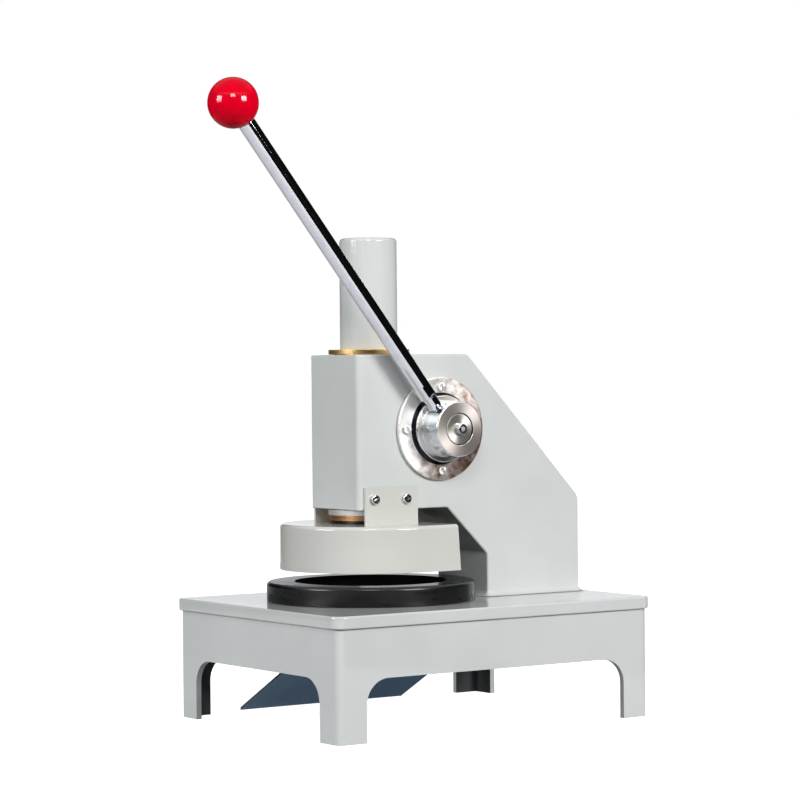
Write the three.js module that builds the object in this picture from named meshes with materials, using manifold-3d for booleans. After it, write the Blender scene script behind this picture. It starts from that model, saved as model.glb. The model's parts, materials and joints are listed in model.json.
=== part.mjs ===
// Lever-operated round sample cutter: a bench press that punches discs out of paper and board.
// Millimetres, +Z up, the lever on the +X side, the paper goes in from the front (-Y).
// The machine is drawn around the floor centre of its base, and moved at the end so that the
// origin lies under the middle of its outer box.

import * as THREE from "three";
import { mergeVertices } from "three/addons/utils/BufferGeometryUtils.js";
import Module from "manifold-3d";

const wasm = await Module();
wasm.setup();

// ---------------------------------------------------------------- driving dimensions

const GAP = 0.3; // between two separate pieces that touch or fit into each other

// base
const BASE_WIDTH = 245;
const BASE_LENGTH = 310;
const BASE_HEIGHT = 98.4;
const PLATE_THICKNESS = 10;
const PLATE_CORNER_RADIUS = 10;
const PLATE_OVERHANG = 2.8;
const SKIRT_THICKNESS = 5;
const SKIRT_CORNER_RADIUS = 7;
const ARCH_HEIGHT = 49;
const ARCH_RADIUS = 20;
const LEG_WIDTH = 26.3;
const LUG_SIZE = 19;
const LUG_THICKNESS = 8;
const LUG_HOLE_INSET = 9;

// cutting line
const CUT_RADIUS = 62.5; // the disc is 125 mm across
const RAM_Y = -41;
const DIE_OUTER_RADIUS = 85;
const DIE_HEIGHT = 16;
const DIE_CHAMFER = 3;
const DIE_BOLT_RADIUS = 74;

// ram, blade and their guides
const RAM_RADIUS = 23.5;
const RAM_TOP = 393;
const RAM_EDGE = 3;
const RAM_BOTTOM = 155.3;
const BUSH_BODY_RADIUS = 28;
const BUSH_FLANGE_RADIUS = 33;
const UPPER_FLANGE_TOP = 302.5;
const UPPER_BUSH_BOTTOM = 269;
const LOWER_BUSH_TOP = 203;
const LOWER_FLANGE_TOP = 167.9;
const LOWER_FLANGE_BOTTOM = 164;
const COLLAR_RADIUS = 34;
const HOLDER_TOP = 158;
const HOLDER_BOTTOM = 150;
const HOLDER_BOSS_RADIUS = 32;
const BLADE_EDGE_Z = 134;
const BLADE_INNER_RADIUS = 52;
const BLADE_SCREW_RADIUS = 57.5;

// frame casting, seen from the side
const FRAME_HALF_WIDTH = 35.7;
const HEAD_FRONT = -76;
const HEAD_BOTTOM = 173.1;
const HEAD_TOP = 298.2;
const TOP_BACK = 32.6;
const BACK = 146.4;
const BACK_CORNER_Z = 178.5;
const THROAT_TOP_BACK = 11.1;
const THROAT_BACK = 50.9;
const THROAT_CORNER_Z = 133.7;
const FRAME_BOLT_X = 22;
const FRAME_BOLT_YS = [70, 128];

// pinion, rack and lever
const AXIS_Y = 3;
const AXIS_Z = 237.6;
const GEAR_MODULE = 2;
const GEAR_TEETH = 24;
const GEAR_HALF_WIDTH = 16;
const PRESSURE_ANGLE = THREE.MathUtils.degToRad(20);
const TOOTH_THINNING = 0.2;
const RACK_TEETH = 11;
const RACK_CENTRE_Z = AXIS_Z + 11.25; // half the stroke above the pinion
const CROSS_BORE_RADIUS = 29;
const SHAFT_RADIUS = 10;
const SHAFT_LEFT = -34;
const SHAFT_RIGHT = 59.7;
const KEY_WIDTH = 6;
const KEY_DEPTH = 3.5; // in the shaft
const KEY_STANDS = 2.5; // out of the shaft

const FLANGE_RADIUS = 42;
const FLANGE_THICKNESS = 3;
const FLANGE_SPIGOT_RADIUS = 28.7;
const FLANGE_SCREW_RADIUS = 34.15;
const FLANGE_RECESS_RADIUS = 29.35;
const FLANGE_RECESS_DEPTH = 1.6;
const SHAFT_BUSH_RADIUS = 15;

const HUB_RADIUS = 22.5;
const HUB_FACE_X = 65.1;
const HUB_SHOULDER_RADIUS = 27.2;
const HUB_SHOULDER_X = 44.5;
const HUB_COUNTERBORE_RADIUS = 13;
const HUB_COUNTERBORE_X = 60;
const LEVER_X = 50.8;
const LEVER_LENGTH = 324.5; // from the pinion's axis to the middle of the knob
const LEVER_TILT = THREE.MathUtils.degToRad(38.4); // forward of upright, at rest
const ROD_RADIUS = 7;
const ROD_STUD_RADIUS = 5;
const ROD_NECK_RADIUS = 5.9;
const ROD_NECK_LENGTH = 10; // from the hub to the collar below the wrench flats
const KNOB_RADIUS = 20;
const KNOB_FLAT_RADIUS = 8.5;

const SPRING_RADIUS = 23.2;
const SPRING_WIRE_RADIUS = 1.2;
const SPRING_TURNS = 4;
const SPRING_PITCH = 2.8;

// guard
const GUARD_RADIUS = 74;
const GUARD_SHEET = 2;
const GUARD_BOTTOM = 124.6;
const GUARD_TOP = 161.5;
const GUARD_BACK = 35; // behind the ram's axis, at the top
const GUARD_BACK_SLANT = 2.5; // further back at the bottom
const GUARD_HOLE_RADIUS = 33.5; // the holder's boss slides in it
const TAB_FRONT = -71;
const TAB_BACK = -20;
const TAB_TOP = 192.3;
const TAB_SCREW_YS = [-62.4, -31.7];
const TAB_SCREW_Z = 181.9;

// discharge chute
const CHUTE_LOW_X = -75;
const CHUTE_LOW_Z = 7.2;
const CHUTE_SLOPE = 0.54;
const CHUTE_HALF_WIDTH = 80.3;
const CHUTE_SHEET = 2;
const CHUTE_CORNER = 1.5;
const CHUTE_FLANGE_X = 95;
const CHUTE_SCREW_X = 84;
const CHUTE_SCREW_YS = [-90, 8];

// derived
const PLATE_BOTTOM = BASE_HEIGHT - PLATE_THICKNESS;
const SKIRT_HALF_WIDTH = BASE_WIDTH / 2 - PLATE_OVERHANG;
const SKIRT_HALF_LENGTH = BASE_LENGTH / 2 - PLATE_OVERHANG;
const PITCH_RADIUS = (GEAR_MODULE * GEAR_TEETH) / 2;
const CROSS_BORE_LEFT = -FRAME_HALF_WIDTH - GAP;
const CROSS_BORE_RIGHT = FRAME_HALF_WIDTH + GAP;
const FLANGE_FACE_X = CROSS_BORE_RIGHT + FLANGE_THICKNESS;

const LARGE_SIDES = 48;
const MEDIUM_SIDES = 32;
const SMALL_SIDES = 20;
const SCREW_SIDES = 10;

// ---------------------------------------------------------------- materials

const material = (color, roughness, metalness) =>
  new THREE.MeshStandardMaterial({ color, roughness, metalness });

const bodyPaint = material(0xced3d1, 0.38, 0);
const guardPaint = material(0xd6d6d0, 0.4, 0);
const blackSteel = material(0x1b1b1c, 0.3, 0.4);
const brass = material(0xc79a52, 0.25, 1);
const brushedSteel = material(0xb4aeab, 0.3, 1);
const turnedSteel = material(0x9fa2a4, 0.35, 1);
const chrome = material(0xd8dadc, 0.08, 1);
const zinc = material(0xc4c6c8, 0.22, 1);
const redPlastic = material(0xdb0326, 0.12, 0);
const slatePaint = material(0x49617c, 0.45, 0);

// ---------------------------------------------------------------- geometry helpers

// Welds a closed geometry, drops its empty triangles and turns its faces outwards.
function weld(geometry) {
  const bare = geometry.clone();
  bare.deleteAttribute("normal");
  bare.deleteAttribute("uv");
  const merged = mergeVertices(bare, 1e-4);
  const index = merged.index.array;
  const position = merged.attributes.position;
  const corner = [new THREE.Vector3(), new THREE.Vector3(), new THREE.Vector3()];
  const kept = [];
  let volume = 0;
  for (let i = 0; i < index.length; i += 3) {
    const [a, b, c] = index.slice(i, i + 3);
    if (a === b || b === c || c === a) continue;
    kept.push(a, b, c);
    [a, b, c].forEach((vertex, k) => corner[k].fromBufferAttribute(position, vertex));
    volume += corner[0].dot(corner[1].clone().cross(corner[2]));
  }
  if (volume < 0) kept.reverse();
  merged.setIndex(kept);
  return merged;
}

function toSolid(geometry) {
  const welded = weld(geometry);
  const vertProperties = new Float32Array(welded.attributes.position.array);
  const triVerts = new Uint32Array(welded.index.array);
  return new wasm.Manifold(new wasm.Mesh({ numProp: 3, vertProperties, triVerts }));
}

function toGeometry(solid) {
  const mesh = solid.getMesh();
  const geometry = new THREE.BufferGeometry();
  geometry.setAttribute("position", new THREE.BufferAttribute(mesh.vertProperties, 3));
  geometry.setIndex(new THREE.BufferAttribute(mesh.triVerts, 1));
  geometry.computeVertexNormals();
  return geometry;
}

const cut = (geometry, ...tools) =>
  toGeometry(tools.reduce((solid, tool) => solid.subtract(toSolid(tool)), toSolid(geometry)));

const join = (geometry, ...others) =>
  toGeometry(others.reduce((solid, other) => solid.add(toSolid(other)), toSolid(geometry)));

const box = (x0, x1, y0, y1, z0, z1) =>
  new THREE.BoxGeometry(x1 - x0, y1 - y0, z1 - z0)
    .translate((x0 + x1) / 2, (y0 + y1) / 2, (z0 + z1) / 2);

// Turns a profile of [radius, height] points about Z, or about X with the height along X.
function turnedZ(profile, sides = MEDIUM_SIDES) {
  const points = profile.map(([radius, height]) => new THREE.Vector2(radius, height));
  return new THREE.LatheGeometry(points, sides).rotateX(Math.PI / 2);
}

function turnedX(profile, sides = MEDIUM_SIDES) {
  const points = profile.map(([radius, height]) => new THREE.Vector2(radius, height));
  return new THREE.LatheGeometry(points, sides).rotateZ(-Math.PI / 2);
}

const diskProfile = (radius, low, high) => [[0, low], [radius, low], [radius, high], [0, high]];

const ringProfile = (inner, outer, low, high) =>
  [[inner, low], [outer, low], [outer, high], [inner, high], [inner, low]];

const rodZ = (radius, low, high, sides = SCREW_SIDES) =>
  turnedZ(diskProfile(radius, low, high), sides);

const rodX = (radius, low, high, sides = SCREW_SIDES) =>
  turnedX(diskProfile(radius, low, high), sides);

const extruded = (shape, depth, curveSegments = 3) =>
  new THREE.ExtrudeGeometry(shape, { depth, bevelEnabled: false, curveSegments });

// An outline drawn in Y and Z, extruded along X from x0 to x1.
function extrudedAlongX(shape, x0, x1, curveSegments = 3) {
  const turn = new THREE.Matrix4().makeBasis(
    new THREE.Vector3(0, 1, 0), new THREE.Vector3(0, 0, 1), new THREE.Vector3(1, 0, 0));
  return extruded(shape, x1 - x0, curveSegments).applyMatrix4(turn).translate(x0, 0, 0);
}

// An outline drawn in X and Z, extruded along Y from y0 to y1.
function extrudedAlongY(shape, y0, y1, curveSegments = 3) {
  return extruded(shape, y1 - y0, curveSegments).rotateX(Math.PI / 2).translate(0, y1, 0);
}

function roundedRectangle(halfWidth, halfLength, radius) {
  const shape = new THREE.Shape();
  shape.moveTo(halfWidth, -halfLength + radius);
  shape.lineTo(halfWidth, halfLength - radius);
  shape.absarc(halfWidth - radius, halfLength - radius, radius, 0, Math.PI / 2);
  shape.absarc(-halfWidth + radius, halfLength - radius, radius, Math.PI / 2, Math.PI);
  shape.absarc(-halfWidth + radius, -halfLength + radius, radius, Math.PI, 1.5 * Math.PI);
  shape.absarc(halfWidth - radius, -halfLength + radius, radius, 1.5 * Math.PI, 2 * Math.PI);
  return shape;
}

// A closed outline of straight sides, its corners rounded by the radius given with each one.
function roundedOutline(corners) {
  const shape = new THREE.Shape();
  corners.forEach(([x, y, radius = 0], i) => {
    const here = new THREE.Vector2(x, y);
    const before = new THREE.Vector2(...corners.at(i - 1).slice(0, 2)).sub(here).normalize();
    const after = new THREE.Vector2(...corners[(i + 1) % corners.length].slice(0, 2))
      .sub(here).normalize();
    const reach = radius / Math.tan(Math.acos(before.dot(after)) / 2);
    const enter = here.clone().addScaledVector(before, reach);
    const leave = here.clone().addScaledVector(after, reach);
    if (i === 0) shape.moveTo(enter.x, enter.y);
    else shape.lineTo(enter.x, enter.y);
    if (radius > 0) shape.quadraticCurveTo(here.x, here.y, leave.x, leave.y);
  });
  shape.closePath();
  return shape;
}

// ---------------------------------------------------------------- fasteners

// The head's underside is at z = 0, the head is above it and the shank below it.
function panHeadScrew(headRadius, headHeight, shankRadius, length) {
  const blank = turnedZ([
    [0, -length], [shankRadius, -length], [shankRadius, 0], [headRadius, 0],
    [headRadius, headHeight * 0.5], [headRadius * 0.62, headHeight], [0, headHeight],
  ], SCREW_SIDES);
  const arm = headRadius * 0.55;
  const slotDepth = headHeight * 0.6;
  const slots = [
    box(-arm, arm, -0.5, 0.5, headHeight - slotDepth, headHeight + 1),
    box(-0.5, 0.5, -arm, arm, headHeight - slotDepth, headHeight + 1),
  ];
  return cut(blank, ...slots);
}

function socketScrew(headRadius, headHeight, shankRadius, length, keySize) {
  const blank = turnedZ([
    [0, -length], [shankRadius, -length], [shankRadius, 0],
    [headRadius, 0], [headRadius, headHeight], [0, headHeight],
  ], SCREW_SIDES);
  const socket = rodZ(keySize / Math.sqrt(3), headHeight * 0.5, headHeight + 1, 6);
  return cut(blank, socket);
}

function countersunkScrew(headRadius, headHeight, shankRadius, length) {
  const blank = turnedZ([
    [0, -length], [shankRadius, -length], [shankRadius, -headHeight], [headRadius, 0], [0, 0],
  ], SCREW_SIDES);
  const socket = rodZ(1.7, -headHeight * 0.6, 1, 6);
  return cut(blank, socket);
}

// ---------------------------------------------------------------- assembly helpers

const machine = new THREE.Group();
const ramLine = new THREE.Group(); // the vertical cutting line
ramLine.position.set(0, RAM_Y, 0);
const crossLine = new THREE.Group(); // the pinion's horizontal axis
crossLine.position.set(0, AXIS_Y, AXIS_Z);
machine.add(ramLine, crossLine);

function addPart(parent, name, geometry, finish, position = [0, 0, 0], rotation = [0, 0, 0]) {
  const mesh = new THREE.Mesh(geometry, finish);
  mesh.name = name;
  mesh.position.set(...position);
  mesh.rotation.set(...rotation);
  parent.add(mesh);
  return mesh;
}

const HEAD_DOWN = [Math.PI, 0, 0];
const HEAD_RIGHT = [0, Math.PI / 2, 0];
const HEAD_LEFT = [0, -Math.PI / 2, 0];

const onCircle = (radius, count, start = 0) =>
  Array.from({ length: count }, (_, i) => {
    const angle = start + (i * 2 * Math.PI) / count;
    return [radius * Math.cos(angle), radius * Math.sin(angle)];
  });

const dieBoltPlaces = onCircle(DIE_BOLT_RADIUS, 4, Math.PI / 4);
const bladeScrewPlaces = onCircle(BLADE_SCREW_RADIUS, 4, Math.PI / 4);
const flangeScrewPlaces = onCircle(FLANGE_SCREW_RADIUS, 4);
const frameBoltPlaces = FRAME_BOLT_YS.flatMap((y) => [[-FRAME_BOLT_X, y], [FRAME_BOLT_X, y]]);
const lugX = SKIRT_HALF_WIDTH - SKIRT_THICKNESS - LUG_HOLE_INSET;
const lugY = SKIRT_HALF_LENGTH - SKIRT_THICKNESS - LUG_HOLE_INSET;
const lugPlaces = [[-lugX, -lugY], [lugX, -lugY], [lugX, lugY], [-lugX, lugY]];
const chuteScrewPlaces = CHUTE_SCREW_YS.map((y) => [CHUTE_SCREW_X, y]);

// ---------------------------------------------------------------- base

function basePlate() {
  const outline = roundedRectangle(BASE_WIDTH / 2, BASE_LENGTH / 2, PLATE_CORNER_RADIUS);
  const plate = extruded(outline, PLATE_THICKNESS).translate(0, 0, PLATE_BOTTOM);
  const discHole = rodZ(CUT_RADIUS + 1, PLATE_BOTTOM - 1, BASE_HEIGHT + 1, LARGE_SIDES)
    .translate(0, RAM_Y, 0);
  const through = (radius, [x, y]) =>
    rodZ(radius, PLATE_BOTTOM - 1, BASE_HEIGHT + 1).translate(x, y, 0);
  const blind = (radius, [x, y]) => rodZ(radius, PLATE_BOTTOM - 1, PLATE_BOTTOM + 7.5)
    .translate(x, y, 0);
  return cut(
    plate,
    discHole,
    ...dieBoltPlaces.map(([x, y]) => through(3 + GAP, [x, y + RAM_Y])),
    ...frameBoltPlaces.map((place) => through(5 + GAP, place)),
    ...lugPlaces.map((place) => blind(3 + GAP, place)),
    ...chuteScrewPlaces.map((place) => blind(2 + GAP, place)),
  );
}

function arch(halfSpan) {
  const shape = new THREE.Shape();
  shape.moveTo(-halfSpan, -1);
  shape.lineTo(halfSpan, -1);
  shape.lineTo(halfSpan, ARCH_HEIGHT - ARCH_RADIUS);
  shape.absarc(halfSpan - ARCH_RADIUS, ARCH_HEIGHT - ARCH_RADIUS, ARCH_RADIUS, 0, Math.PI / 2);
  shape.absarc(-halfSpan + ARCH_RADIUS, ARCH_HEIGHT - ARCH_RADIUS, ARCH_RADIUS,
    Math.PI / 2, Math.PI);
  return shape;
}

function baseSkirt() {
  const top = PLATE_BOTTOM - GAP;
  const outer = roundedRectangle(SKIRT_HALF_WIDTH, SKIRT_HALF_LENGTH, SKIRT_CORNER_RADIUS);
  outer.holes.push(roundedRectangle(
    SKIRT_HALF_WIDTH - SKIRT_THICKNESS, SKIRT_HALF_LENGTH - SKIRT_THICKNESS,
    SKIRT_CORNER_RADIUS - SKIRT_THICKNESS));
  const walls = extruded(outer, top, 4);
  const halfLug = LUG_SIZE / 2;
  const lugs = lugPlaces.map(([x, y]) =>
    box(x - halfLug, x + halfLug, y - halfLug, y + halfLug, top - LUG_THICKNESS, top));
  const holes = lugPlaces.map(([x, y]) =>
    rodZ(3 + GAP, top - LUG_THICKNESS - 1, top + 1).translate(x, y, 0));
  const acrossFront = extrudedAlongY(
    arch(SKIRT_HALF_WIDTH - LEG_WIDTH), -BASE_LENGTH, BASE_LENGTH);
  const acrossSides = extrudedAlongX(
    arch(SKIRT_HALF_LENGTH - LEG_WIDTH), -BASE_WIDTH, BASE_WIDTH);
  return cut(join(walls, ...lugs), acrossFront, acrossSides, ...holes);
}

function dischargeChute() {
  const flangeTop = PLATE_BOTTOM - GAP;
  const flangeBottom = flangeTop - CHUTE_SHEET;
  const slopeAngle = Math.atan(CHUTE_SLOPE);
  const raisedX = CHUTE_LOW_X - CHUTE_SHEET * Math.sin(slopeAngle);
  const raisedZ = CHUTE_LOW_Z + CHUTE_SHEET * Math.cos(slopeAngle);
  const profile = new THREE.Shape();
  profile.moveTo(CHUTE_LOW_X, CHUTE_LOW_Z);
  profile.lineTo(CHUTE_LOW_X + (flangeBottom - CHUTE_LOW_Z) / CHUTE_SLOPE, flangeBottom);
  profile.lineTo(CHUTE_FLANGE_X, flangeBottom);
  profile.lineTo(CHUTE_FLANGE_X, flangeTop);
  profile.lineTo(raisedX + (flangeTop - raisedZ) / CHUTE_SLOPE, flangeTop);
  profile.lineTo(raisedX, raisedZ);
  const y0 = RAM_Y - CHUTE_HALF_WIDTH;
  const y1 = RAM_Y + CHUTE_HALF_WIDTH;
  const sheet = extrudedAlongY(profile, y0, y1);
  const plan = roundedOutline([
    [raisedX, y0, CHUTE_CORNER], [CHUTE_FLANGE_X + 1, y0], [CHUTE_FLANGE_X + 1, y1],
    [raisedX, y1, CHUTE_CORNER],
  ]);
  const trimmed = toGeometry(toSolid(sheet).intersect(toSolid(extruded(plan, BASE_HEIGHT))));
  const holes = chuteScrewPlaces.map(([x, y]) =>
    rodZ(2 + GAP, flangeBottom - 1, flangeTop + 1).translate(x, y, 0));
  return cut(trimmed, ...holes);
}

function addBase() {
  addPart(machine, "base_plate", basePlate(), bodyPaint);
  addPart(machine, "base_skirt", baseSkirt(), bodyPaint);
  addPart(machine, "discharge_chute", dischargeChute(), slatePaint);
  const lugBottom = PLATE_BOTTOM - GAP - LUG_THICKNESS;
  lugPlaces.forEach(([x, y], i) => {
    addPart(machine, `base_screw_${i + 1}`, socketScrew(5, 6, 3, 15, 5), zinc,
      [x, y, lugBottom - GAP], HEAD_DOWN);
  });
  chuteScrewPlaces.forEach(([x, y], i) => {
    addPart(machine, `chute_screw_${i + 1}`, panHeadScrew(4, 2.6, 2, 8.5), zinc,
      [x, y, PLATE_BOTTOM - CHUTE_SHEET - 2 * GAP], HEAD_DOWN);
  });
}

// ---------------------------------------------------------------- die

function dieRing() {
  const low = BASE_HEIGHT + GAP;
  const high = BASE_HEIGHT + DIE_HEIGHT;
  const ring = turnedZ([
    [CUT_RADIUS, low], [DIE_OUTER_RADIUS, low], [DIE_OUTER_RADIUS, high - DIE_CHAMFER],
    [DIE_OUTER_RADIUS - DIE_CHAMFER * 0.3, high - DIE_CHAMFER * 0.3],
    [DIE_OUTER_RADIUS - DIE_CHAMFER, high], [CUT_RADIUS, high], [CUT_RADIUS, low],
  ], LARGE_SIDES);
  return cut(ring, ...dieBoltPlaces.map(([x, y]) =>
    rodZ(3 + GAP, low - 1, low + 10).translate(x, y, 0)));
}

function addDie() {
  addPart(ramLine, "die_ring", dieRing(), blackSteel);
  dieBoltPlaces.forEach(([x, y], i) => {
    addPart(ramLine, `die_bolt_${i + 1}`, socketScrew(5, 6, 3, 19, 5), zinc,
      [x, y, PLATE_BOTTOM - GAP], HEAD_DOWN);
  });
}

// ---------------------------------------------------------------- frame casting

function frameCasting() {
  const profile = roundedOutline([
    [HEAD_FRONT, HEAD_BOTTOM, 1.5], [HEAD_FRONT, HEAD_TOP, 1.5],
    [TOP_BACK, HEAD_TOP, 6], [BACK, BACK_CORNER_Z, 10],
    [BACK, BASE_HEIGHT + GAP], [THROAT_BACK, BASE_HEIGHT + GAP],
    [THROAT_BACK, THROAT_CORNER_Z, 4], [THROAT_TOP_BACK, HEAD_BOTTOM, 4],
  ]);
  const body = extrudedAlongX(profile, -FRAME_HALF_WIDTH, FRAME_HALF_WIDTH, 3);
  const ramBore = rodZ(BUSH_BODY_RADIUS + GAP, HEAD_BOTTOM - 1, HEAD_TOP + 1, MEDIUM_SIDES)
    .translate(0, RAM_Y, 0);
  const crossBore = rodX(CROSS_BORE_RADIUS, -BASE_WIDTH, BASE_WIDTH, MEDIUM_SIDES)
    .translate(0, AXIS_Y, AXIS_Z);
  const boltHoles = frameBoltPlaces.map(([x, y]) =>
    rodZ(5 + GAP, BASE_HEIGHT - 1, BASE_HEIGHT + 26).translate(x, y, 0));
  const bothSides = (radius, depth, y, z) => [
    rodX(radius, FRAME_HALF_WIDTH - depth, FRAME_HALF_WIDTH + 1).translate(0, y, z),
    rodX(radius, -FRAME_HALF_WIDTH - 1, -FRAME_HALF_WIDTH + depth).translate(0, y, z),
  ];
  const tabHoles = TAB_SCREW_YS.flatMap((y) => bothSides(2 + GAP, 6, y, TAB_SCREW_Z));
  const flangeHoles = flangeScrewPlaces.flatMap(([y, z]) =>
    bothSides(2 + GAP, 9, y + AXIS_Y, z + AXIS_Z));
  return cut(body, ramBore, crossBore, ...boltHoles, ...tabHoles, ...flangeHoles);
}

function addFrame() {
  addPart(machine, "frame_casting", frameCasting(), bodyPaint);
  frameBoltPlaces.forEach(([x, y], i) => {
    addPart(machine, `frame_bolt_${i + 1}`, socketScrew(8, 10, 5, 34, 8), zinc,
      [x, y, PLATE_BOTTOM - GAP], HEAD_DOWN);
  });
}

// ---------------------------------------------------------------- ram guides and guard

function addGuides() {
  const bore = RAM_RADIUS + GAP;
  addPart(ramLine, "upper_bush", turnedZ([
    [bore, UPPER_BUSH_BOTTOM], [BUSH_BODY_RADIUS, UPPER_BUSH_BOTTOM],
    [BUSH_BODY_RADIUS, HEAD_TOP + GAP], [BUSH_FLANGE_RADIUS, HEAD_TOP + GAP],
    [BUSH_FLANGE_RADIUS, UPPER_FLANGE_TOP], [bore, UPPER_FLANGE_TOP],
    [bore, UPPER_BUSH_BOTTOM],
  ]), brass);
  addPart(ramLine, "lower_bush", turnedZ([
    [bore, LOWER_FLANGE_BOTTOM], [BUSH_FLANGE_RADIUS, LOWER_FLANGE_BOTTOM],
    [BUSH_FLANGE_RADIUS, LOWER_FLANGE_TOP], [BUSH_BODY_RADIUS, LOWER_FLANGE_TOP],
    [BUSH_BODY_RADIUS, LOWER_BUSH_TOP], [bore, LOWER_BUSH_TOP], [bore, LOWER_FLANGE_BOTTOM],
  ]), brass);
  addPart(ramLine, "bush_collar", turnedZ(ringProfile(
    BUSH_BODY_RADIUS + GAP, COLLAR_RADIUS, LOWER_FLANGE_TOP + GAP, HEAD_BOTTOM - GAP)),
    turnedSteel);
}

// Walks a U in plan: a half circle in front and straight sides that run back.
function guardOutline(radius) {
  const shape = new THREE.Shape();
  const back = GUARD_BACK + GUARD_BACK_SLANT;
  shape.moveTo(-radius, back);
  shape.absarc(0, 0, radius, Math.PI, 2 * Math.PI);
  shape.lineTo(radius, back);
  return shape;
}

function guardShell() {
  const curve = 12;
  const inner = GUARD_RADIUS - GUARD_SHEET;
  const height = GUARD_TOP - GUARD_BOTTOM;
  const block = extruded(guardOutline(GUARD_RADIUS), height, curve).translate(0, 0, GUARD_BOTTOM);
  const hollow = extruded(guardOutline(inner), height, curve)
    .translate(0, 0.01, GUARD_BOTTOM - GUARD_SHEET);
  const openBack = box(-inner, inner, 0, 2 * GUARD_BACK, GUARD_BOTTOM - 1,
    GUARD_TOP - GUARD_SHEET);
  const bossHole = rodZ(GUARD_HOLE_RADIUS, GUARD_TOP - 3, GUARD_TOP + 1, LARGE_SIDES);
  const slant = new THREE.Shape();
  slant.moveTo(GUARD_BACK, GUARD_TOP + 1);
  slant.lineTo(GUARD_BACK + GUARD_BACK_SLANT, GUARD_BOTTOM);
  slant.lineTo(3 * GUARD_BACK, GUARD_BOTTOM);
  slant.lineTo(3 * GUARD_BACK, GUARD_TOP + 1);
  const slantedBack = extrudedAlongX(slant, -2 * GUARD_RADIUS, 2 * GUARD_RADIUS);
  const shell = cut(block, hollow, openBack, bossHole, slantedBack);
  const tabInside = FRAME_HALF_WIDTH + GAP;
  const tab = (x0, x1) => box(x0, x1, TAB_FRONT - RAM_Y, TAB_BACK - RAM_Y,
    GUARD_TOP - GUARD_SHEET, TAB_TOP);
  const withTabs = join(shell, tab(tabInside, tabInside + GUARD_SHEET),
    tab(-tabInside - GUARD_SHEET, -tabInside));
  const holes = TAB_SCREW_YS.flatMap((y) => [-1, 1].map((side) =>
    rodX(2 + GAP, -4, 4).translate(side * tabInside, y - RAM_Y, TAB_SCREW_Z)));
  return cut(withTabs, ...holes);
}

function addGuard() {
  addPart(ramLine, "guard_shell", guardShell(), guardPaint);
  const seat = FRAME_HALF_WIDTH + GUARD_SHEET + 2 * GAP;
  TAB_SCREW_YS.forEach((y, i) => {
    addPart(machine, `right_guard_screw_${i + 1}`, panHeadScrew(4, 2.6, 2, 7.5), zinc,
      [seat, y, TAB_SCREW_Z], HEAD_RIGHT);
    addPart(machine, `left_guard_screw_${i + 1}`, panHeadScrew(4, 2.6, 2, 7.5), zinc,
      [-seat, y, TAB_SCREW_Z], HEAD_LEFT);
  });
}

// ---------------------------------------------------------------- ram, blade holder and blade

// Straight-sided rack teeth on the back of the ram, drawn in Y and Z about the rack's middle.
function rackGap(halfPitchWidth) {
  const pitchY = AXIS_Y - RAM_Y - PITCH_RADIUS;
  const tipY = pitchY + GEAR_MODULE;
  const rootY = pitchY - 1.25 * GEAR_MODULE;
  const widen = Math.tan(PRESSURE_ANGLE);
  const atTip = halfPitchWidth + (tipY + 1 - pitchY) * widen;
  const atRoot = halfPitchWidth - (pitchY - rootY) * widen;
  const shape = new THREE.Shape();
  shape.moveTo(rootY, -atRoot);
  shape.lineTo(tipY + 1, -atTip);
  shape.lineTo(tipY + 1, atTip);
  shape.lineTo(rootY, atRoot);
  return shape;
}

function ramWithRack() {
  const body = turnedZ([
    [0, RAM_BOTTOM], [RAM_RADIUS, RAM_BOTTOM], [RAM_RADIUS, RAM_TOP - RAM_EDGE],
    [RAM_RADIUS - RAM_EDGE * 0.3, RAM_TOP - RAM_EDGE * 0.3],
    [RAM_RADIUS - RAM_EDGE, RAM_TOP], [0, RAM_TOP],
  ]);
  const pitch = Math.PI * GEAR_MODULE;
  const tipY = AXIS_Y - RAM_Y - PITCH_RADIUS + GEAR_MODULE;
  const halfRack = (RACK_TEETH * pitch) / 2;
  const flat = box(-RAM_RADIUS, RAM_RADIUS, tipY, RAM_RADIUS + 1,
    RACK_CENTRE_Z - halfRack, RACK_CENTRE_Z + halfRack);
  const halfGap = pitch / 4 + TOOTH_THINNING / 2;
  const firstGap = Math.ceil((RACK_CENTRE_Z - halfRack - AXIS_Z) / pitch);
  const gaps = Array.from({ length: RACK_TEETH }, (_, i) =>
    extrudedAlongX(rackGap(halfGap), -RAM_RADIUS, RAM_RADIUS)
      .translate(0, 0, AXIS_Z + (firstGap + i) * pitch));
  const boltHole = rodZ(5 + GAP, RAM_BOTTOM - 1, RAM_BOTTOM + 25);
  return cut(body, flat, ...gaps, boltHole);
}

function bladeHolder() {
  const bossTop = LOWER_FLANGE_BOTTOM - GAP;
  const socketFloor = RAM_BOTTOM - GAP;
  const body = turnedZ([
    [5 + GAP, HOLDER_BOTTOM], [CUT_RADIUS - GAP, HOLDER_BOTTOM], [CUT_RADIUS - GAP, HOLDER_TOP],
    [HOLDER_BOSS_RADIUS, HOLDER_TOP], [HOLDER_BOSS_RADIUS, bossTop],
    [RAM_RADIUS + GAP, bossTop], [RAM_RADIUS + GAP, socketFloor], [5 + GAP, socketFloor],
    [5 + GAP, HOLDER_BOTTOM],
  ], LARGE_SIDES);
  return cut(body, ...bladeScrewPlaces.map(([x, y]) => turnedZ([
    [0, HOLDER_BOTTOM - 1], [2.5 + GAP, HOLDER_BOTTOM - 1], [2.5 + GAP, HOLDER_TOP - 3],
    [5 + GAP, HOLDER_TOP - 0.3], [5 + GAP, HOLDER_TOP + 1], [0, HOLDER_TOP + 1],
  ], SCREW_SIDES).translate(x, y, 0)));
}

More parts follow.
